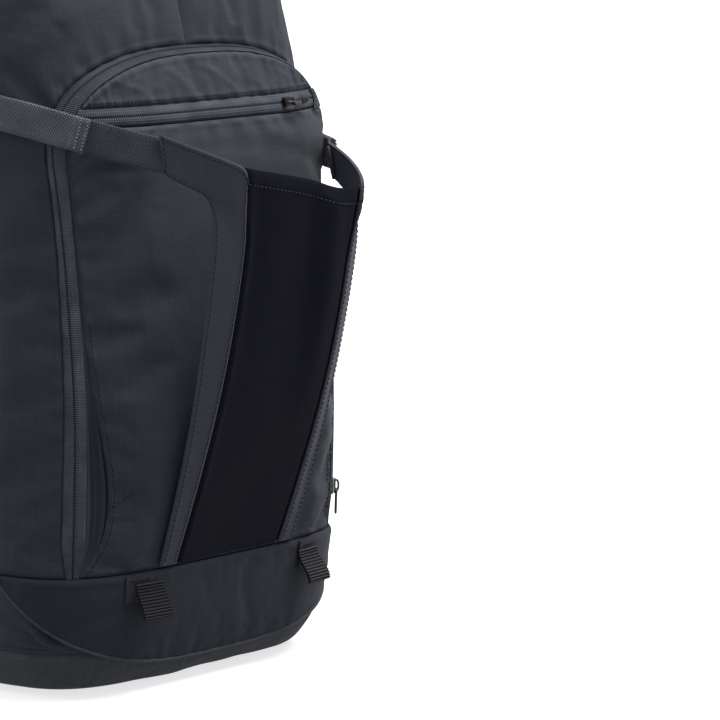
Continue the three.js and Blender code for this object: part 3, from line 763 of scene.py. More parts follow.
# Flat webbing: a close basket weave, or ribs across where a rib length is given
def webbing_look(name, slot, colour, pitch=1.7, rib=0.0, contrast=0.36, weave_share=0.16):
    look = Look(name, slot)
    u, v = look.axes(look.uv())[:2]
    rising = look.wave(look.add(u, v), pitch)
    falling = look.wave(look.calc("SUBTRACT", u, v), pitch)
    height = look.add(rising, look.times(falling, 0.6))
    if rib > 0:
        height = look.add(look.times(height, 0.2), look.wave(v, rib))
    worn = look.noise(look.place(), 60, 4)
    worn_share = look.add(look.times(worn, 0.4), 0.3)
    tone = look.add(look.times(height, weave_share), worn_share)
    return look.finish({
        "Base Color": look.ramp(tone, colour, 1 - contrast, 1 + contrast),
        "Normal": look.bump(height, 0.0003, 0.6),
        "Roughness": look.add(look.times(worn, 0.2), 0.6),
        "Sheen Weight": 0.04,
        "Specular IOR Level": 0.12,
    })


# Zip tape: fine ribs across it, a weaker grain along it, and two rows of coil beside a slit painted dark as
# shade; where a height is given, painted shade darkens the tape above it
def zip_look(name, slot, colour, slit_painted_shade, painted_shade_above=None):
    look = Look(name, slot)
    u, v = look.axes(look.uv())[:2]
    place = look.place()
    apart = look.calc("ABSOLUTE", u)
    slit = look.calc("LESS_THAN", apart, 0.42)
    coil = look.calc("LESS_THAN", apart, 1.6)
    ribs = look.times(look.wave(v, 1.3), look.add(coil, 0.6))
    height = look.add(ribs, look.times(look.wave(u, 1.4), 0.25))
    worn = look.noise(place, 45, 4)
    tone = look.add(look.times(height, 0.16), worn)
    # Painted shade: the slit between the two coils is darkened
    tone = look.calc("SUBTRACT", tone, look.times(slit, slit_painted_shade))
    colours = look.ramp(tone, colour, 0.6, 1.4)
    # Painted shade above the given height, to cancel the overhead light on the arch's top
    if painted_shade_above is not None:
        colours = look.paint_shade_above(colours, place, painted_shade_above)
    return look.finish({
        "Base Color": colours,
        "Normal": look.bump(height, 0.0004, 0.55),
        "Roughness": look.add(look.times(worn, 0.2), 0.64),
        "Sheen Weight": 0.04,
        "Specular IOR Level": 0.08,
    })


# Open spacer mesh for the padded back and straps
def mesh_look(name, slot, colour):
    look = Look(name, slot)
    cells = look.node("TexVoronoi")
    cells.voronoi_dimensions = "2D"
    connect(look.tree, cells, {"Scale": 0.42, "Randomness": 0.25, "Vector": look.uv()})
    depth = cells.outputs["Distance"]
    drift = look.noise(look.place(), 30, 4)
    tone = look.add(look.times(depth, 0.55), look.times(drift, 0.35))
    return look.finish({
        "Base Color": look.ramp(tone, colour, 0.6, 1.35),
        "Normal": look.bump(depth, 0.0012, 0.6),
        "Roughness": look.add(look.times(drift, 0.15), 0.72),
        "Sheen Weight": 0.08,
        "Specular IOR Level": 0.2,
    })


# Moulded plastic and cast metal: slow roughness drift with fine grain
def hard_look(name, slot, colour, metallic, rough, grain):
    look = Look(name, slot)
    place = look.place()
    worn = look.noise(place, 160, 5)
    return look.finish({
        "Base Color": look.ramp(worn, colour, 0.75, 1.25),
        "Normal": look.bump(look.noise(place, 1400, 3), grain, 0.25),
        "Roughness": look.add(look.times(worn, 0.25), rough - 0.12),
        "Metallic": metallic,
    })


SHELL = cloth_look("shell_cloth", "shell_cloth", (0.047, 0.0485, 0.0575), spread=0.2)
FRONT = cloth_look("panel_cloth", "panel_cloth", (0.045, 0.048, 0.057), spread=0.2)
# Band cloth darker than the front cloth: partly its own tone, partly painted shade standing in for a cast
# shadow across the band
BAND = cloth_look("band_cloth", "panel_cloth", (0.030, 0.0328, 0.039), spread=0.2)
LINING = cloth_look("gusset_cloth", "panel_cloth", (0.055, 0.057, 0.064), crease=0.2)
# Base cloth: its own tone, lifted to offset the dim fill from below, so partly painted light
BASE = cloth_look("base_cloth", "base_cloth", (0.078, 0.078, 0.082), spread=0.3, thread=1.1, rough=0.84,
                  sheen=0.05)
ARM = cloth_look("arm_cloth", "panel_cloth", (0.070, 0.068, 0.083), thread=0.6, rough=0.7, sheen=0.06,
                 crease=0.12)
STRETCH = cloth_look("stretch_cloth", "stretch_cloth", (0.0105, 0.0107, 0.0150), spread=0.2, thread=0.5,
                     rough=0.72, sheen=0.0, crease=0.08, gloss=0.03)
PIPING = webbing_look("piping_tape", "panel_cloth", (0.075, 0.078, 0.084), pitch=1.2)
WEBBING = webbing_look("strap_webbing", "webbing", (0.052, 0.053, 0.060), contrast=0.62, weave_share=0.2)
# Painted light: the folded strap end is the same webbing made about twice as light, for the side the key
# light leaves dark
FOLD_WEBBING_PAINTED_LIGHT = webbing_look("folded_webbing_painted_light", "webbing", (0.114, 0.114, 0.123), pitch=1.9, contrast=0.62,
                            weave_share=0.2)
RIBBED = webbing_look("ribbed_webbing", "ribbed_webbing", (0.040, 0.034, 0.041), pitch=1.3)
RIBBED_TAB = webbing_look("tab_webbing", "ribbed_webbing", (0.020, 0.0163, 0.0183), rib=TAB_LENGTH / TAB_RIBS,
                          contrast=0.85, weave_share=0.24)
# Both zip tapes have the slit between their coils painted dark as shade
ZIP = zip_look("zip_tape", "zip_tape", (0.068, 0.073, 0.084), slit_painted_shade=0.4)
# Arch tape: painted lighter than the pocket tape as painted light for its shaded legs, and darker above 0.325
# m as painted shade for its lit top
ARCH_ZIP = zip_look("arch_tape_painted_light_and_shade", "zip_tape", (0.086, 0.090, 0.103), slit_painted_shade=0.9, painted_shade_above=0.325)
THREAD = webbing_look("sewing_thread", "webbing", (0.014, 0.0145, 0.017), pitch=0.6)
LIGHT_THREAD = webbing_look("bar_tack_thread", "webbing", (0.046, 0.046, 0.052), pitch=0.6)
FOLD_THREAD = webbing_look("fold_thread", "webbing", (0.27, 0.27, 0.28), pitch=0.6)
SPACER = mesh_look("spacer_mesh", "padding", (0.024, 0.026, 0.030))
PLASTIC = hard_look("moulded_plastic", "plastic", (0.012, 0.012, 0.014), 0.0, 0.45, 0.00008)
METAL = hard_look("dark_metal", "metal", (0.058, 0.050, 0.046), 1.0, 0.36, 0.00004)

# Noise over a surface: height and size of each wave
PANEL_WAVES = ((0.35, 46), (0.16, 19))
RING_WAVES = ((0.7, 50), (0.3, 20))
CREASE_WAVES = ((1.0, 9), (0.5, 4.5))

# Edges that roll into a seam: height, place and width of the ridge beside it, depth and width of the roll
PANEL_ROLL = (0.35, 3.0, 1.8, 0.85, 2.0)
RING_ROLL = (0.45, 4.5, 2.5, 1.3, 3.6)
FLAP_ROLL = (0.5, 3.5, 2.2, 0.9, 2.6)
ARM_ROLL = (0.35, 2.4, 1.6, 0.6, 1.6)
MIDDLE_GAP = 0.12
PUCKER_SIZE = 6.5
PUCKER_REACH = 7


def waves(points, table, seed):
    return sum(height * noise(points, size, seed + k) for k, (height, size) in enumerate(table))


def bell(away, width):
    return np.exp(-(away / width) ** 2)


def rolled(inset, ridge, ridge_at, ridge_wide, roll, roll_wide):
    return ridge * bell(inset - ridge_at, ridge_wide) - roll * (1 - smooth(inset / roll_wide)) ** 2


# A sewn cloth panel on the body: its edges roll into the seams, and slack and folds lift its face
def body_panel(name, s, z, lift, rolled_edges, table, look, node, seed, calm=1.0):
    points = body(s, z, lift)
    normals = grid_normals(points, BODY_CENTRE)
    rows, columns = points.shape[0] - 1, points.shape[1] - 1
    inset = edge_distance(points, rolled_edges)
    away = edge_distance(points, "lrbt")
    relief = (folds(s, z, table) + waves(points, PANEL_WAVES, seed)) * smooth(away / 14)
    uneven = 0.5 * noise(points, 26, seed + 3) * smooth(away / 10)
    start = points + normals * (relief + uneven)[..., None]
    slack = settle(start[::SETTLE_STEP, ::SETTLE_STEP], normals[::SETTLE_STEP, ::SETTLE_STEP])
    relief = calm * (relief + spread(slack, rows, columns))
    pucker = noise(points, PUCKER_SIZE, seed + 2)
    relief += 0.2 * pucker * np.exp(-away / PUCKER_REACH) * smooth(away / 1.5)
    relief += rolled(inset, *PANEL_ROLL)
    outer = points + normals * relief[..., None]
    return outer, sheet_piece(name, outer, CLOTH_DEEP, (s, z), look, node)[1]


# Side wraps
WRAP_FOLDS = [
    (-150, 212, 82, 120, 11, 1.1),
    (-182, 157, 76, 110, 13, -1.0),
    (-138, 117, 70, 60, 8, 0.9),
    (-60, 403, 14, 60, 6, 0.7),
    (-35, 407, 84, 18, 4, 0.8),
    (-88, 398, 62, 26, 5, 0.8),
    (-150, 337, -52, 55, 8, -0.8),
    (-100, 392, 40, 40, 7, 0.8),
    (25, 407, 64, 18, 3.5, 0.9),
    (52, 405, 78, 20, 4, 0.9),
    (72, 402, 74, 20, 3.5, 1.0),
    (92, 400, 80, 20, 4, 0.9),
    (150, 232, 98, 120, 11, 1.0),
    (180, 147, 104, 90, 12, -1.0),
    (140, 127, 110, 60, 8, 0.8),
]
PAST_TAPE = 1.0001
for side, name in SIDE_NAMES.items():
    o, v = grid(90, 240)
    o = edge_fine(o)
    inner_s, inner_z = arch_line(v, PAST_TAPE)
    corner = np.clip((v - LEG_SHARE) / (1 - LEG_SHARE), 0, 1)
    outer_z = mix(LOWER_SEAM + SEAM, LID_SEAM - SEAM, np.clip(v / LEG_SHARE, 0, 1))
    outer_s = (back_seam(outer_z) - SEAM) * (1 - corner)
    wrap_s = side * np.maximum(mix(inner_s, outer_s, o), MIDDLE_GAP)
    wrap_z = mix(inner_z, outer_z, o)
    body_panel(f"wrap_{name}_cloth", wrap_s, wrap_z, 0, "lrbt", WRAP_FOLDS, SHELL, f"wrap_{name}", 11 + side)

# Lower sides with a stitched foot
LOWER_FOLDS = [
    (-175, 52, 8, 50, 5, 0.9),
    (-152, 46, -14, 34, 4, 0.7),
    (-135, 41, -42, 11, 1.9, 3.0),
    (-128, 35, -38, 10, 1.7, 3.4),
    (-121, 32, -30, 10, 1.6, 4.0),
    (-138, 33, -20, 12, 1.9, 3.2),
    (-152, 38, -12, 18, 2.6, 2.2),
    (140, 45, 38, 16, 3.0, 1.0),
    (128, 35, 26, 12, 2.2, 1.0),
    (175, 52, 172, 50, 5, 0.9),
]
for side, name in SIDE_NAMES.items():
    u, v = grid(150, 45)
    low_z = mix(BASE_SEAM + SEAM, LOWER_SEAM - SEAM, edge_fine(v))
    low_s = side * mix(MIDDLE_GAP, back_seam(low_z) - SEAM, u)
    outer, out = body_panel(f"lower_side_{name}_cloth", low_s, low_z, 0, "rbt", LOWER_FOLDS, SHELL,
                            f"lower_side_{name}", 21 + side)
    thread_rows.row(*edge_line(outer, out, "b", 4.0, 0.5, 1.0))

# Gussets with pleats beside the arched zip
GUSSET_DEEP = 1.2
for side, name in SIDE_NAMES.items():
    u, v = grid(16, 90)
    pleat_z = mix(LOWER_SEAM + 1, GUSSET_TOP - 4, v)
    low = panel_edge(pleat_z) - 1.5
    high = arch_half(pleat_z, -zip_half(pleat_z)) + 1.0
    pleat_s = side * mix(low, high, u)
    open_share = smooth(gusset_width(pleat_z) / GUSSET)
    dent = 3.6 * np.sin(np.pi * u) + 1.1 * np.cos(6 * np.pi * u)
    points = body(pleat_s, pleat_z, ledge(pleat_z) - GUSSET_DEEP - dent * open_share)
    sheet_piece(f"gusset_{name}_cloth", points, GUSSET_DEEP, (pleat_s, pleat_z), LINING, f"gusset_{name}")


# Runs from the seam to the middle, spaced evenly and eased between their ends
def eased_runs(points, passes):
    run = run_lengths(points, 0)
    even = np.linspace(0, 1, len(points))
    eased = np.empty_like(points)
    for column in range(points.shape[1]):
        share = run[:, column] / run[-1, column]
        for axis in range(3):
            eased[:, column, axis] = np.interp(even, share, points[:, column, axis])
    for k in range(passes):
        eased[1:-1] = 0.25 * eased[:-2] + 0.5 * eased[1:-1] + 0.25 * eased[2:]
    return eased


# Lid and base: rings round the body that close on a middle
LID_HEIGHTS = [LID_SEAM + SEAM, 429, 437, 444, 450, 455, 460, 464, 467, 469.5, 471]
BASE_HEIGHTS = [BASE_SEAM - SEAM, 20, 14, 9, 5, 3, 1.6, 0.6, 0.0]
TOP_MIDDLE = (0, 19, TOP)
BASE_MIDDLE = (0, -2, 0.0)
CAP_RINGS = 14
CAP_SHARE = 0.985
CREASE_STRETCH = np.array([0.3, 0.3, 1.5])
CREASE_FADE = 5


def ring_panel(name, heights, middle, columns, rings, look, node, seed, passes=0, crease=0.0):
    u, v = grid(columns, rings)
    z = np.interp(v * (len(heights) - 1), np.arange(len(heights)), heights)
    points = body((2 * u - 1) * total_at(z), z)
    last = points[-1]
    closing = []
    for k in range(1, CAP_RINGS + 1):
        share = k / CAP_RINGS * CAP_SHARE
        ring = mix(last, np.asarray(middle, dtype=float), share)
        ring[:, 2] = mix(last[:, 2], middle[2], 1 - (1 - share) ** 2)
        closing.append(ring)
    points = np.concatenate([points, np.array(closing)])
    if passes:
        points = eased_runs(points, passes)
    normals = grid_normals(points, BODY_CENTRE)
    inset = edge_distance(points, "b")
    relief = waves(points, RING_WAVES, seed) * smooth(inset / 20)
    relief += 0.3 * noise(points, PUCKER_SIZE, seed + 2) * np.exp(-inset / PUCKER_REACH)
    relief += rolled(inset, *RING_ROLL)
    if crease:
        creases = waves(points * CREASE_STRETCH, CREASE_WAVES, seed + 3)
        relief += crease * creases * smooth(inset / CREASE_FADE)
        relief *= smooth(points[..., 2] / CREASE_FADE)
    outer = points + normals * relief[..., None]
    outer[:, -1] = outer[:, 0]
    lengths = (outer[..., 0], outer[..., 1] + outer[..., 2])
    return outer, sheet_piece(name, outer, CLOTH_DEEP, lengths, look, node)[1]


ring_panel("lid_cloth", LID_HEIGHTS, TOP_MIDDLE, 260, 40, SHELL, "lid", 31, passes=40)
base_outer, base_out = ring_panel("base_cloth", BASE_HEIGHTS, BASE_MIDDLE, 320, 32, BASE, "base_panel", 35,
                                  crease=0.85)

# Padded back with sewn channels
BACK_CROWN = 2.9
BACK_EDGE = 12
BACK_DEEP = 6.5
CHANNELS_Z = (137, 307)
CHANNEL_REACH = 8
CHANNEL_SHARE = 0.05
u, v = grid(110, 190)
back_z = mix(BASE_SEAM + SEAM, LID_SEAM - SEAM, v)
back_x = (2 * u - 1) * (section_at(back_z)[0] - BACK_SEAM_INSET - SEAM)
points = body(total_at(back_z) + back_x, back_z)
out = grid_normals(points, BODY_CENTRE)
channel = np.abs(back_x)
for channel_z in CHANNELS_Z:
    channel = np.minimum(channel, np.abs(back_z - channel_z))
crown = BACK_CROWN * smooth(edge_distance(points, "lrbt") / BACK_EDGE)
back_lift = crown * mix(CHANNEL_SHARE, 1.0, smooth(channel / CHANNEL_REACH)) + 0.25 * noise(points, 24, 41)
outer = points + out * back_lift[..., None]
back_piece, back_out = sheet_piece("back_padding", outer, BACK_DEEP, (back_x, back_z), SPACER, "back_panel")
for edge in "lr":
    thread_rows.row(*edge_line(outer, back_out, edge, 5))

# Lower band with a piped edge
BAND_FOLDS = [
    (-92, 62, -4, 34, 3.5, 0.7),
    (-60, 49, 3, 40, 4, 0.6),
    (-105, 47, 20, 28, 4, -0.6),
    (40, 57, 4, 50, 4, 0.6),
    (95, 53, -8, 35, 4, 0.7),
]
PIPE_RADIUS = 1.0
PIPE_SIDES = 8
PIPE_UP = np.array([0.12, 0.05, 1.0])
u, v = grid(210, 48)
band_s = (2 * u - 1) * BAND_END
band_edge = BAND_EDGE_Z + BAND_EDGE_RISE * (np.abs(band_s) / BAND_EDGE_AT) ** 3
band_z = mix(band_edge, LOWER_SEAM - SEAM, v**1.4)
band_outer, band_out = body_panel("lower_band_cloth", band_s, band_z, BAND_LIFT + 0.8, "t", BAND_FOLDS, BAND,
                                  "lower_band", 51, calm=0.55)
raised = band_outer + 0.1 * band_out
pipe_line = np.vstack([raised[:0:-1, 0], raised[0], raised[1:, -1]])
ahead = unit(np.gradient(pipe_line, axis=0))
pipe_side = unit(np.cross(ahead, PIPE_UP))
pipe_up = np.cross(pipe_side, ahead)
loops = [at + PIPE_RADIUS * spokes(*ways, PIPE_SIDES) for at, *ways in zip(pipe_line, pipe_side, pipe_up)]
pipe_round = np.linspace(0, 2 * np.pi, PIPE_SIDES, endpoint=False) * PIPE_RADIUS
pipe_uv = np.stack(np.meshgrid(pipe_round, run_lengths(pipe_line, 0)), axis=-1)
tube_piece("band_piping", np.array(loops), pipe_uv, PIPING)

# Front compartment panels
UPPER_FOLDS = [
    (1.5, 361, -28, 24, 3.2, 1.2),
    (14, 355, -25, 20, 3.0, -0.7),
    (61, 359, -34, 16, 3.0, 1.0),
    (41, 350, -32, 10, 2.5, 0.8),
    (-32, 362, -38, 18, 3.2, 0.9),
    (-70, 358, -27, 18, 3.2, 1.0),
    (-48, 352, 16, 16, 2.6, 0.6),
]
LOWER_PANEL_FOLDS = [
    (-88, 269, 62, 48, 7, -1.6),
    (-80, 221, 78, 60, 7, 1.2),
    (-88, 139, 84, 42, 5, 1.1),
    (-72, 111, -38, 30, 5, -1.0),
    (-40, 99, 12, 44, 6, 0.9),
    (60, 247, 110, 60, 8, 1.2),
    (74, 137, 96, 50, 7, 1.1),
    (20, 317, -6, 70, 6, -0.9),
]
u, v = grid(180, 48)
u, v = edge_fine(u, 0.5), edge_fine(v)
upper_low = POCKET_Z + POCKET_HALF + SEAM
upper_s = (2 * u - 1) * (arch_half(upper_low + 0.8, -ZIP_HALF) - SEAM)
upper_z = mix(upper_low, arch_height(upper_s, -ZIP_HALF) - SEAM, v)
outer, out = body_panel("front_upper_cloth", upper_s, upper_z, front_lift(upper_s, upper_z), "lrbt",
                        UPPER_FOLDS, FRONT, "front_upper", 61)
thread_rows.row(*edge_line(outer, out, "b", 3.0, 0.03, 0.97), length=1.6, gap=1.3, radius=0.22)

u, v = grid(150, 180)
u, v = edge_fine(u), edge_fine(v, 0.5)
lower_z = mix(LOWER_SEAM + SEAM, POCKET_Z - POCKET_HALF - SEAM, v)
lower_s = (2 * u - 1) * panel_edge(lower_z)
behind_flap = smooth((78 - np.abs(lower_s)) / 14) * smooth((175 - lower_z) / 50)
outer, out = body_panel("front_lower_cloth", lower_s, lower_z, front_lift(lower_s, lower_z), "lrbt",
                        LOWER_PANEL_FOLDS, FRONT, "front_lower", 71, calm=1 - behind_flap)
for edge in "lr":
    thread_rows.row(*edge_line(outer, out, edge, 3.8, 0.0, 0.55))

# Zips: a recessed tape with a slit between its two coils
SLIT_OUTWARD = 1.3
SLIT_HALF = 0.55
COIL_HALF = 3.8
ZIP_EASE = 1.2
ZIP_SINK = 0.3
TAPE_DEEP = 1.0
ARCH_COLUMNS = 34


def zip_profile(across, half, off, slit_deep):
    crown = 0.5 * (1 - np.abs(across) ** 4)
    slit = slit_deep * bell(off, SLIT_HALF)
    tuck = smooth((np.abs(across) * half - half + ZIP_EASE) / ZIP_EASE)
    coil = 0.35 * smooth((COIL_HALF - np.abs(off)) / ZIP_EASE)
    return crown + coil - slit - tuck - ZIP_SINK


a, v = grid(ARCH_COLUMNS, 520)
a = 2 * a - 1
zip_s, zip_z = arch_line(1 - np.abs(2 * v - 1), a)
zip_side = np.where(v < 0.5, LEFT, RIGHT)
zip_off = a * zip_half(zip_z) - SLIT_OUTWARD * smooth((zip_z - 120) / 150)
zip_lift = ledge(zip_z) * (1 - a) / 2 + zip_profile(a, zip_half(zip_z), zip_off, 1.2)
points = body(zip_side * zip_s, zip_z, zip_lift)
middle = ARCH_COLUMNS // 2
along = run_lengths(points, 0)[:, middle:middle + 1] * np.ones_like(a)
sheet_piece("arch_zip_tape", points, TAPE_DEEP, (zip_off, along), ARCH_ZIP, "arch_zip")

u, v = grid(240, 26)
pocket_off = mix(-POCKET_HALF, POCKET_HALF, v)
pocket_z = POCKET_Z + pocket_off
pocket_s = (2 * u - 1) * (arch_half(pocket_z, -ZIP_HALF) + 0.4)
pocket_lift = front_lift(pocket_s, pocket_z) + zip_profile(2 * v - 1, POCKET_HALF, pocket_off, 0.6)
points = body(pocket_s, pocket_z, pocket_lift)
sheet_piece("pocket_zip_tape", points, TAPE_DEEP, (pocket_off, pocket_s), ZIP, "pocket_zip")


# Carrier flap: a taut stretch panel with a folded hem
def flap_y(down):
    return mix(HEM_Y, FLAP_FOOT_Y, down) - FLAP_BOW * np.sin(np.pi * down)


def flap_half(down):
    return mix(PANEL_HALF, FLAP_FOOT_HALF, smooth(down / FLAP_NARROWS_BY))


HEM_DEEP = 9.5
HEM_DIP = 2.4
HEM_DIP_AT = 0.76
HEM_DIP_WIDE = 0.15
FLAP_DEEP = 1.8
FLAP_BEHIND = (0, 60, 150)
BEHIND_CORNERS = 7
BEHIND_RIGHT_ARM = 4.5

# Slow ridges down the flap: place across it, width, height
FLAP_RIDGES = ((27, 11, 2.3), (8, 11, -0.8), (-20, 12, 0.6), (-38, 6, -0.6))
RIDGE_LEAN = 10
u, down = grid(70, 150)
corners = BEHIND_CORNERS * smooth((0.16 - down) / 0.1)
behind_arm = np.maximum(corners, BEHIND_RIGHT_ARM * smooth((2 * u - 1) / 0.6))
flap_x = (2 * u - 1) * (flap_half(down) - 0.2 + behind_arm)
hem_z = HEM_Z + HEM_TILT * flap_x - HEM_DIP * bell(u - HEM_DIP_AT, HEM_DIP_WIDE)
flap_z = mix(hem_z, FLAP_FOOT_Z, down)
points = np.stack([flap_x, flap_y(down), flap_z], axis=-1)
out = grid_normals(points, FLAP_BEHIND)
below_hem = run_lengths(points, 0)
inset = edge_distance(points, "lr")
relief = 0.5 * smooth((HEM_DEEP + 1 - below_hem) / 1.5) - 0.7 * bell(below_hem - HEM_DEEP, 1.0)
relief += 0.35 * noise(points, 40, 81) * smooth(inset / 12)
ridge_share = smooth(below_hem / 14) * smooth((0.75 - down) / 0.5)
for ridge_x, ridge_wide, ridge_high in FLAP_RIDGES:
    relief += ridge_high * bell(flap_x - ridge_x - RIDGE_LEAN * down, ridge_wide) * ridge_share
relief += rolled(inset, *FLAP_ROLL)
relief -= 0.6 * (1 - smooth(below_hem / 1.4)) ** 2
relief -= 1.5 * np.clip(1 - below_hem / HEM_DEEP, 0, 1)
relief -= 2.2 * smooth((np.abs(flap_x) - flap_half(down) + 4) / 4)
outer = points + out * relief[..., None]
flap_piece, out = sheet_piece("carrier_panel_cloth", outer, FLAP_DEEP, (flap_x, flap_z), STRETCH,
                              "carrier_panel", FLAP_BEHIND)
light_rows.row(*edge_line(outer, out, "b", HEM_DEEP, 0.02, 0.98), length=1.5, gap=1.8, radius=0.42)

# Carrier arms: down the flap, reach back, reach out, rise
ARM_ROWS = np.array([
    (0.0, 39, 33, 20.5),
    (0.035, 37, 32.9, 20.8),
    (0.07, 35, 33.4, 21.2),
    (0.1, 33, 33.8, 21.5),
    (0.125, 23.8, 28.5, 22),
    (0.155, 14.2, 22.8, 23.5),
    (0.2, 8, 20.2, 25),
    (0.28, 4, 19.3, 24),
    (0.5, 3, 17.5, 16),
    (0.75, 1.5, 15, 7),
    (1.0, 0.5, 13.5, 0),
])

# The right arm is pulled straighter back than the left: shares of the reach back, the reach out and the rise
ARM_PULL = {LEFT: (1.0, 1.0, 1.0), RIGHT: (1.15, 0.5, 1.12)}
ARM_FOOT_OUT = 13.5
ARM_BULGE = 1.5
ARM_CLIMB_POWER = 1.6
ARM_CLIMB_SHARE = 0.8
ARM_CLIMB_FROM = 0.1
ARM_LENGTH = 52
ARM_CORNER = 7
ARM_CORNER_FADE = 24
ARM_DEEP = 1.6
ARM_BEFORE = (0, -60, 150)
ARM_ROW_STEPS = 180
ARM_STITCHES = {"b": 3.4, "r": 2.8, "l": 2.8}
for side, name in SIDE_NAMES.items():
    o = grid(40, ARM_ROW_STEPS)[0]
    arm_rows = spread(ARM_ROWS, ARM_ROW_STEPS, 3).T[..., None] * np.ones_like(o)
    arm_down, rows_back, rows_out, rows_rise = arm_rows
    pull_back, pull_out, pull_rise = ARM_PULL[side]
    reach = mix(ARM_FOOT_OUT, rows_out, pull_out) * mix(o, 1 - (1 - o) ** ARM_BULGE, 0.6)
    arm_x = side * (flap_half(arm_down) + 0.2 + reach)
    arm_y = flap_y(arm_down) + pull_back * rows_back * o**ARM_BULGE
    seam_z = mix(HEM_Z + HEM_TILT * side * flap_half(arm_down), FLAP_FOOT_Z, arm_down)
    early = ARM_CLIMB_SHARE * smooth(arm_down / ARM_CLIMB_FROM)
    arm_z = seam_z + pull_rise * rows_rise * mix(o, 1 - (1 - o) ** ARM_CLIMB_POWER, early)
    round_off = np.clip(1 - o * ARM_LENGTH / ARM_CORNER, 0, 1)
    corner_drop = ARM_CORNER * (1 - np.sqrt(1 - round_off**2))
    arm_z = arm_z - corner_drop * np.clip(1 - (arm_z[:1] - arm_z) / ARM_CORNER_FADE, 0, 1)
    points = np.stack([arm_x, arm_y, arm_z], axis=-1)
    out = grid_normals(points, ARM_BEFORE)
    inset = edge_distance(points, "lrb")
    relief = 0.5 + 0.3 * noise(points, 30, 91 + side) * smooth(inset / 8) + rolled(inset, *ARM_ROLL)
    outer = points + out * relief[..., None]
    out = sheet_piece(f"carrier_arm_{name}_cloth", outer, ARM_DEEP, (arm_x * side, arm_z), ARM,
                      f"carrier_arm_{name}", ARM_BEFORE)[1]
    for edge, distance in ARM_STITCHES.items():
        thread_rows.row(*edge_line(outer, out, edge, distance))

# Carrier straps on the body: distance round, left height, right height, lift of the right one over the ledge
STRAP_ON_BODY = [
    (215, 355, 335, 0),
    (206, 353.8, 332, 0),
    (190, 351.5, 326.7, 0),
    (168, 347.3, 319, 0),
    (146, 342.7, 311.2, 1.2),
    (126, 338.5, 304.5, 5.6),
]
STRAP_LIFT = 2.2
ARM_ENDS = {LEFT: np.array([-82.5, -115.5, 319.5]), RIGHT: np.array([75.0, -110.5, 304.0])}
STRAP_BOWS = {LEFT: np.array([-4.5, -3.5, 0]), RIGHT: np.array([2.5, -2.1, 0])}
STRAP_BOW_POWERS = {LEFT: 1.0, RIGHT: 0.6}
STRAP_TO_ARM = (0.35, 0.7, 0.945)
STRAP_TUCK = 1.12
STRAP_BEHIND_ARM = 2.6
FOLD_STEPS = (0.45, 0.52, 0.59, 0.66, 0.73, 0.79)
FOLD_OFF = 2 * WEBBING_DEEP + 0.25
FOLD_HEM_FROM = 0.86
FOLD_ROWS = (0.99, 0.93)
FOLD_ROW_HALF = 9.4
FOLD_ROW_POINTS = 12


# The strap on the body and on to the arm, and its end sewn behind the arm
def strap_points(side):
    points = []
    for s, left, right, bridge in STRAP_ON_BODY:
        z, lift = (left, STRAP_LIFT) if side == LEFT else (right, STRAP_LIFT + bridge)
        points.append(body(side * s, z, lift))
    last = points[-1]
    for t in STRAP_TO_ARM:
        bow = math.sin(math.pi * t ** STRAP_BOW_POWERS[side])
        points.append(mix(last, ARM_ENDS[side], t) + STRAP_BOWS[side] * bow)
    behind = STRAP_BEHIND_ARM * unit(np.array([-side * 0.78, 0.62, 0.0]))
    return np.array(points), mix(last, ARM_ENDS[side], STRAP_TUCK) + behind


# The strap's width leans with the body
def strap_across(middle):
    above, below = section_at(middle[2] + 8), section_at(middle[2] - 8)
    face = 2 if middle[1] < WIDEST_Y else 1
    x = middle[0] * (above[0] / below[0] - 1)
    y = (middle[1] - WIDEST_Y) * ((above[face] - WIDEST_Y) / (below[face] - WIDEST_Y) - 1)
    return np.array([float(x), float(y), 16.0])


# A direction turned away from the body's upright middle line
def turned_out(way, at):
    return way if np.dot(way, at - np.array([0, WIDEST_Y, at[2]])) >= 0 else -way


def strap_outward(curve, t):
    at = curve.point(t)
    return turned_out(unit(np.cross(curve.tangent(t), strap_across(at))), at)


def webbing_shape(t):
    return WEBBING_HALF, WEBBING_DEEP


# The folded end is turned under once more and sewn
def fold_shape(t):
    return WEBBING_HALF, WEBBING_DEEP * (1 + 0.8 * float(smooth((t - FOLD_HEM_FROM) / 0.02)))


for side, name in SIDE_NAMES.items():
    seen, tucked = strap_points(side)
    curve = Curve(seen)
    strap_piece(f"carrier_strap_{name}_webbing", Curve(np.vstack([seen, tucked])), FLAT, strap_across,
                webbing_shape, 100, WEBBING, f"carrier_strap_{name}")
    fold_curve = Curve([curve.point(t) + FOLD_OFF * strap_outward(curve, t) for t in FOLD_STEPS])
    strap_piece(f"strap_fold_{name}_webbing", fold_curve, FLAT, strap_across, fold_shape, 120, FOLD_WEBBING_PAINTED_LIGHT,
                f"strap_fold_{name}")
    for t in FOLD_ROWS:
        outward = strap_outward(fold_curve, t)
        width = unit(np.cross(outward, fold_curve.tangent(t)))
        width = width * np.sign(width[2])
        steps = np.linspace(-FOLD_ROW_HALF, FOLD_ROW_HALF, FOLD_ROW_POINTS)[:, None]
        line = fold_curve.point(t) + outward * fold_shape(t)[1] + width * steps
        fold_rows.row(line, outward + 0 * line, length=1.3, gap=0.7, radius=0.55)

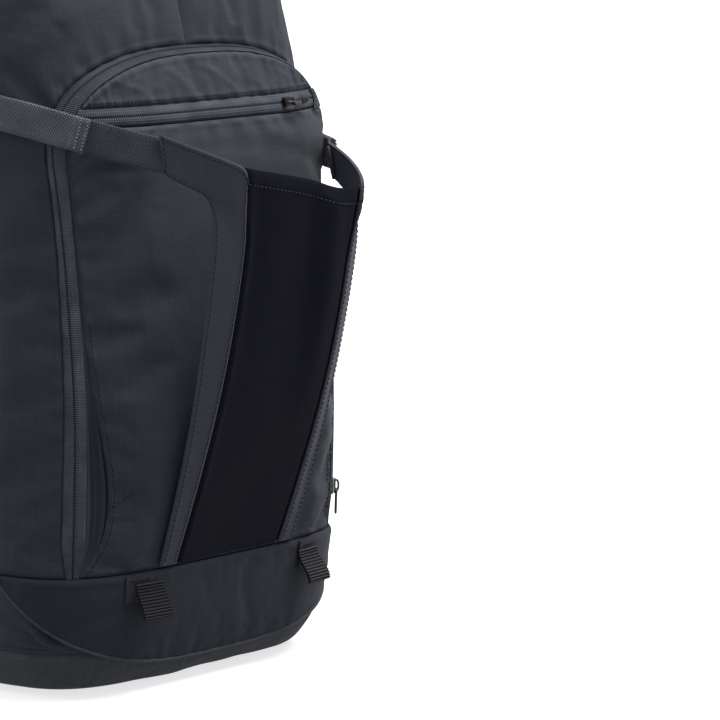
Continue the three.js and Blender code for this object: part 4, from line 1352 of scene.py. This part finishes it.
# Lower tabs: a stitched patch and a ribbed tab over it
TAB_S = 75
TAB_SHIFT = 5
TAB_DEEP = 1.4
TAB_RIB_HIGH = 0.42
TAB_LIFT = BAND_LIFT + 5.8
TAB_FLARE = 10
PATCH_LIFT = BAND_LIFT + 2.9
PATCH_DEEP = 1.3
for side, name in SIDE_NAMES.items():
    u, v = grid(16, 14)
    patch_s = side * TAB_S + (2 * u - 1) * WEBBING_HALF
    patch_z = mix(LOWER_SEAM - 17, LOWER_SEAM - 1, v)
    points = body(patch_s, patch_z, PATCH_LIFT)
    sheet_piece(f"tab_patch_{name}_webbing", points, PATCH_DEEP, (patch_s, patch_z), RIBBED,
                f"tab_patch_{name}")
    patch_row = body(side * TAB_S + np.linspace(-8, 8, 12), LOWER_SEAM - 3.8, PATCH_LIFT)
    thread_rows.row(patch_row, unit(patch_row * np.array([1, 1, 0])), length=1.9, gap=0.7, radius=0.42)
    u, v = grid(16, 132)
    tab_s = side * (TAB_S - TAB_SHIFT) + (2 * u - 1) * WEBBING_HALF
    rib = TAB_RIB_HIGH * np.cos(2 * np.pi * TAB_RIBS * v)
    points = body(tab_s, LOWER_SEAM - TAB_BELOW_SEAM - TAB_LENGTH * v, TAB_LIFT + TAB_FLARE * smooth(v) + rib)
    lengths = (tab_s, TAB_LENGTH * (v + 0.25 / TAB_RIBS))
    sheet_piece(f"ribbed_tab_{name}_webbing", points, TAB_DEEP, lengths, RIBBED_TAB, f"ribbed_tab_{name}")

# Shoulder straps, their webbing and ladder locks: across, distance from the back's face, height
SHOULDER_PATH = [
    (47, 1.4, 365),
    (47.5, 6, 391),
    (50, 19, 412),
    (54, 41, 417),
    (62, 63, 393),
    (70, 75, 345),
    (79, 75, 287),
    (88, 64, 229),
]
TAIL_PATH = [
    (91.5, 58, 203),
    (94, 47, 157),
    (96, 25, 102),
    (96, 7, 69),
    (91, 1.6, 55),
    (88, 0.6, 37),
]

# Webbing through a lock: along it and out from its face
LOCK_THREAD = [
    (-3.6, -0.8),
    (-0.9, 2.4),
    (2.9, 2.4),
    (6.2, 0.0),
    (10.5, -2.6),
]

# Bars of a lock: where each starts and ends, along and across, and its radius
LOCK_BARS = [
    (-10.5, -14, 10.5, -14, 2.0),
    (-10.5, 14, 10.5, 14, 2.0),
    (-10.5, -14, -10.5, 14, 1.8),
    (1.0, -14, 1.0, 14, 1.6),
    (10.5, -14, 10.5, 14, 1.8),
]
BAR_SIDES = 10
BAR_ROUNDED = 0.6
LOCK_INTO_PAD = 2.6
BACK_LEAN = 0.16


def back_face(x, z):
    return float(body(total_at(z) - abs(x), z, BACK_OUT)[1])


def path_points(rows, side):
    return np.array([(side * x, back_face(x, z) + off, z) for x, off, z in rows])


def back_across(middle):
    return np.array([1.0, 0.0, math.copysign(BACK_LEAN, middle[0])])


def shoulder_shape(t):
    return float(mix(31, 16.5, smooth((t - 0.72) / 0.28))), float(mix(2.5, 6.0, smooth(t / 0.16)))


def tail_shape(t):
    return float(mix(11.4, 12.5, smooth((t - 0.08) / 0.06))), WEBBING_DEEP


for side, name in SIDE_NAMES.items():
    shoulder_points = path_points(SHOULDER_PATH, side)
    tail_points = path_points(TAIL_PATH, side)
    pad = strap_piece(f"shoulder_strap_{name}_padding", Curve(shoulder_points), PADDED, back_across,
                      shoulder_shape, 110, SPACER, f"shoulder_strap_{name}")
    start, end = shoulder_points[-1], tail_points[0]
    ahead = unit(end - start)
    wide = back_across(start)
    wide = unit(wide - ahead * np.dot(wide, ahead))
    outward = unit(np.cross(wide, ahead))
    outward = outward * np.sign(outward[1])
    lock_at = mix(start, end, 0.5) - ahead * LOCK_INTO_PAD
    threaded = [lock_at + ahead * along + outward * off for along, off in LOCK_THREAD]
    tail_curve = Curve(np.concatenate([threaded, tail_points]))
    strap_piece(f"shoulder_tail_{name}_webbing", tail_curve, FLAT, back_across, tail_shape, 170, WEBBING,
                f"shoulder_webbing_{name}")
    lock = Rings()
    face = np.cross(ahead, wide)
    for start_along, start_across, end_along, end_across, radius in LOCK_BARS:
        start = lock_at + ahead * start_along + wide * start_across
        end = lock_at + ahead * end_along + wide * end_across
        way = unit(end - start)
        rounded = way * radius * BAR_ROUNDED
        ring = radius * spokes(unit(np.cross(way, face)), face, BAR_SIDES)
        tip = ring * BAR_ROUNDED
        lock.run([start - rounded + tip, start + ring, end + ring, end + rounded + tip])
    lock.piece(f"ladder_lock_{name}_plastic", PLASTIC, f"ladder_lock_{name}")

# Haul loop
HAUL_PATH = [
    (-26, 1.0, 397),
    (-26, 2.0, 418),
    (-20, 5, 441),
    (0, 7, 453),
    (20, 5, 441),
    (26, 2.0, 418),
    (26, 1.0, 397),
]
HAUL_FOOT_Z = 397
HAUL_TURN_Z = 418


def haul_across(middle):
    return np.array([middle[0], 0.0, max(0.0, middle[2] - HAUL_TURN_Z)])


def haul_shape(t):
    return 8.0, 1.5


haul_curve = Curve([(x, back_face(x, HAUL_FOOT_Z) + off, z) for x, off, z in HAUL_PATH])
strap_piece("haul_loop_webbing", haul_curve, FLAT, haul_across, haul_shape, 110, WEBBING, "haul_loop")


# A small solid drawn along three axes at a place
class Solid(Rings):
    def __init__(self, at, along, across, out):
        super().__init__()
        self.at = at
        self.axes = np.array([along, across, out])

    def run(self, rings, closed=False):
        super().run([np.asarray(ring) @ self.axes + self.at for ring in rings], closed)

    # A plate with rounded corners and eased edges
    def plate(self, length, width, low, high, middle=0.0, power=4.0, count=28):
        turn = np.linspace(0, 2 * np.pi, count, endpoint=False)
        c, d = np.cos(turn), np.sin(turn)
        x = np.sign(c) * np.abs(c) ** (2 / power) * length / 2
        y = np.sign(d) * np.abs(d) ** (2 / power) * width / 2
        ease = 0.22 * (high - low)
        levels = ((low, 0.9), (low + ease, 1.0), (high - ease, 1.0), (high, 0.86))
        self.run([np.stack([middle + x * k, y * k, np.full(count, z)], axis=-1) for z, k in levels])

    # A bent wire through points, or a closed ring of it
    def wire(self, line, radius, closed=False, sides=8):
        line = np.asarray(line, dtype=float)
        if closed:
            ahead = unit(np.roll(line, -1, axis=0) - np.roll(line, 1, axis=0))
        else:
            ahead = unit(np.gradient(line, axis=0))
        rings = []
        for place, way in zip(line, ahead):
            side_way = np.cross(way, (0, 0, 1.0))
            if np.linalg.norm(side_way) < 1e-3:
                side_way = np.array([0, 1.0, 0])
            side_way = unit(side_way)
            rings.append(place + radius * spokes(side_way, np.cross(side_way, way), sides))
        self.run(rings, closed)

    def slider(self):
        self.plate(10.5, 7.6, -0.6, 0.5)
        self.plate(9.5, 6.4, 0.6, 1.9)
        self.wire(BRIDGE_LINE, 0.75)


BRIDGE_LINE = [(-3.4, 0, 1.6), (-3.0, 0, 2.9), (-1.2, 0, 3.5), (1.6, 0, 3.5), (3.4, 0, 2.8), (3.7, 0, 1.6)]


def ring_line(length, width, middle, height, count=36):
    turn = np.linspace(0, 2 * np.pi, count, endpoint=False)
    c, d = np.cos(turn), np.sin(turn)
    x = middle + np.sign(c) * np.abs(c) ** 0.7 * length / 2
    y = np.sign(d) * np.abs(d) ** 0.8 * width / 2
    return np.stack([x, y, height + 0 * x], axis=-1)


# A frame on the body: its place, the way round, the way up the face and the way out
def face_frame(s, z, lift):
    at = body(s, z, lift)
    round_way = unit(body(s + 1, z, lift) - body(s - 1, z, lift))
    lean = unit(body(s, z + 1, lift) - body(s, z - 1, lift))
    return at, round_way, lean, turned_out(unit(np.cross(round_way, lean)), at)


# Zip sliders and pulls
SLIDER_S = 61
ARCH_SLIDER_Z = 91
ARCH_SLIDER_UP = 7
SLIDER_LIFT = 1.5
pocket_frame = face_frame(SLIDER_S, POCKET_Z, float(front_lift(SLIDER_S, POCKET_Z)) + SLIDER_LIFT)
slider = Solid(*pocket_frame)
slider.slider()
slider.piece("pocket_slider_metal", METAL, "pocket_zip_slider")
pull = Solid(*pocket_frame)
pull.wire(ring_line(13.5, 5.6, 9.6, 2.5), 0.85, closed=True)
pull.plate(5.2, 5.0, 2.0, 3.1, middle=13.6)
pull.piece("pocket_pull_metal", METAL, "pocket_zip_pull")
arch_lift = float(ledge(ARCH_SLIDER_Z)) * 0.5 + SLIDER_LIFT
at, round_way, lean, out = face_frame(float(leg_at(ARCH_SLIDER_Z)), ARCH_SLIDER_Z, arch_lift)
slider = Solid(at + lean * ARCH_SLIDER_UP, lean, -round_way, out)
slider.slider()
slider.wire(ring_line(15, 5.6, -9.6, 2.3), 0.85, closed=True)
slider.plate(5.2, 5.0, 1.8, 2.9, middle=-14)
slider.piece("arch_slider_metal", METAL, "arch_zip_slider")

# Cloth garage at the pocket zip's far end
GARAGE_S = 92
GARAGE_OVER = 0.8
GARAGE_ROLL = 0.7
u, v = grid(20, 24)
garage_z = mix(POCKET_Z - POCKET_HALF - GARAGE_OVER, POCKET_Z + POCKET_HALF + GARAGE_OVER, v)
garage_s = mix(GARAGE_S + 2.5 * np.sin(np.pi * v), arch_half(garage_z, -ZIP_HALF) - 0.6, u)
points = body(garage_s, garage_z, front_lift(garage_s, garage_z) + 1.9 - u)
roll = GARAGE_ROLL * (1 - smooth(edge_distance(points, "lbt") / 1.6)) ** 2
points = points - grid_normals(points, BODY_CENTRE) * roll[..., None]
out = sheet_piece("zip_garage_cloth", points, TAPE_DEEP, (garage_s, garage_z), LINING, "zip_garage")[1]
thread_rows.row(*edge_line(points, out, "l", 2.2, 0.1, 0.9), length=1.6, gap=0.9, radius=0.28)

# A short dart beside the gusset and a short upright seam on the base
DART_FROM = (-99, 112.5)
DART_TO = (-82, 124)
DART_LIFT = 0.25
BASE_LINE_S = -26
BASE_LINE_Z = (4, 15.5)
dart_s, dart_z = np.linspace(DART_FROM, DART_TO, 20).T
dart_line = body(dart_s, dart_z, front_lift(dart_s, dart_z) + DART_LIFT)
thread_rows.row(dart_line, unit(dart_line * np.array([1, 1, 0])))
column = int(round((1 + BASE_LINE_S / total_at(10)) / 2 * (base_outer.shape[1] - 1)))
heights = base_outer[:, column, 2]
on_line = (heights > BASE_LINE_Z[0]) & (heights < BASE_LINE_Z[1])
fold_rows.row(base_outer[on_line, column], base_out[on_line, column], length=2.2, gap=0.35, radius=0.3)

thread_rows.piece("thread_rows", THREAD, sharp=STITCH_SHARP)
light_rows.piece("bar_tack_rows", LIGHT_THREAD, sharp=STITCH_SHARP)
fold_rows.piece("fold_stitch_rows", FOLD_THREAD, sharp=STITCH_SHARP)

# Floor, which glows faintly and throws no light back
FLOOR_SIDES = 96
FLOOR_RADIUS = 14.0
FLOOR_DROP = 0.0005
rim = FLOOR_RADIUS * spokes(np.array([1, 0, 0]), np.array([0, 1, 0]), FLOOR_SIDES)
floor_mesh = bpy.data.meshes.new("floor")
floor_mesh.from_pydata(rim.tolist(), [], [tuple(range(FLOOR_SIDES))])
floor = bpy.data.objects.new("floor", floor_mesh)
bpy.context.collection.objects.link(floor)
floor.location.z = -FLOOR_DROP
floor_look = Look("pale_floor", None)
floor_look.finish({
    "Base Color": floor_look.ramp(floor_look.noise(floor_look.place(), 3, 3), (1, 1, 1), 0.44, 0.46),
    "Roughness": 0.8,
    "Specular IOR Level": 0.1,
    "Emission Color": (1, 1, 1, 1),
    "Emission Strength": 0.72,
})
floor_mesh.materials.append(floor_look.material)
floor.visible_diffuse = False

# Studio light: a fill that grows from below to above, plain white to the camera
FILL_COLOUR = (0.86, 0.94, 1.08)
FILL_BELOW = 0.16
FILL_ABOVE = 0.62
world = bpy.data.worlds.new("studio")
bpy.context.scene.world = world
world.use_nodes = True
sky = world.node_tree
sky_way = add_node(sky, "SeparateXYZ", {"Vector": add_node(sky, "TexCoord").outputs["Generated"]})
fill = sky.nodes["Background"]
strength = map_range(sky, sky_way.outputs["Z"], -1, 1, FILL_BELOW, FILL_ABOVE)
connect(sky, fill, {"Color": (*FILL_COLOUR, 1), "Strength": strength})
either = add_node(sky, "MixShader", {
    0: add_node(sky, "LightPath").outputs["Is Camera Ray"],
    1: fill.outputs["Background"],
    2: add_node(sky, "Background", {"Color": (1, 1, 1, 1)}).outputs["Background"],
})
connect(sky, sky.nodes["World Output"], {"Surface": either.outputs["Shader"]})


def sun_light(name, toward, strength, spread_degrees):
    data = bpy.data.lights.new(name, "SUN")
    data.energy = strength
    data.angle = math.radians(spread_degrees)
    lamp = bpy.data.objects.new(name, data)
    lamp.rotation_euler = Vector(toward).to_track_quat("-Z", "Y").to_euler()
    lamp.location = (0, 0, 3)
    bpy.context.collection.objects.link(lamp)


sun_light("softbox_overhead", (-0.36, 0.17, -0.91), 4.9, 44)
sun_light("softbox_behind", (0.1, -0.8, -0.6), 2.0, 60)

# Camera at the photograph's angle
CAMERA_AZIMUTH = math.radians(-50)
CAMERA_PITCH = math.radians(8.2)
CAMERA_REACH = 2.54
CAMERA_AIM = Vector((0.096, -0.114, 0.182))
camera_data = bpy.data.cameras.new("camera")
camera_data.lens = 209.5
camera_data.sensor_width = 36
camera_data.clip_end = 60
camera = bpy.data.objects.new("camera", camera_data)
level = math.cos(CAMERA_PITCH)
camera_back = Vector((
    math.sin(CAMERA_AZIMUTH) * level,
    -math.cos(CAMERA_AZIMUTH) * level,
    math.sin(CAMERA_PITCH),
))
camera.location = CAMERA_AIM + camera_back * CAMERA_REACH
camera.rotation_euler = camera_back.to_track_quat("Z", "Y").to_euler()
bpy.context.collection.objects.link(camera)
bpy.context.scene.camera = camera
bpy.context.scene.view_settings.view_transform = "Standard"
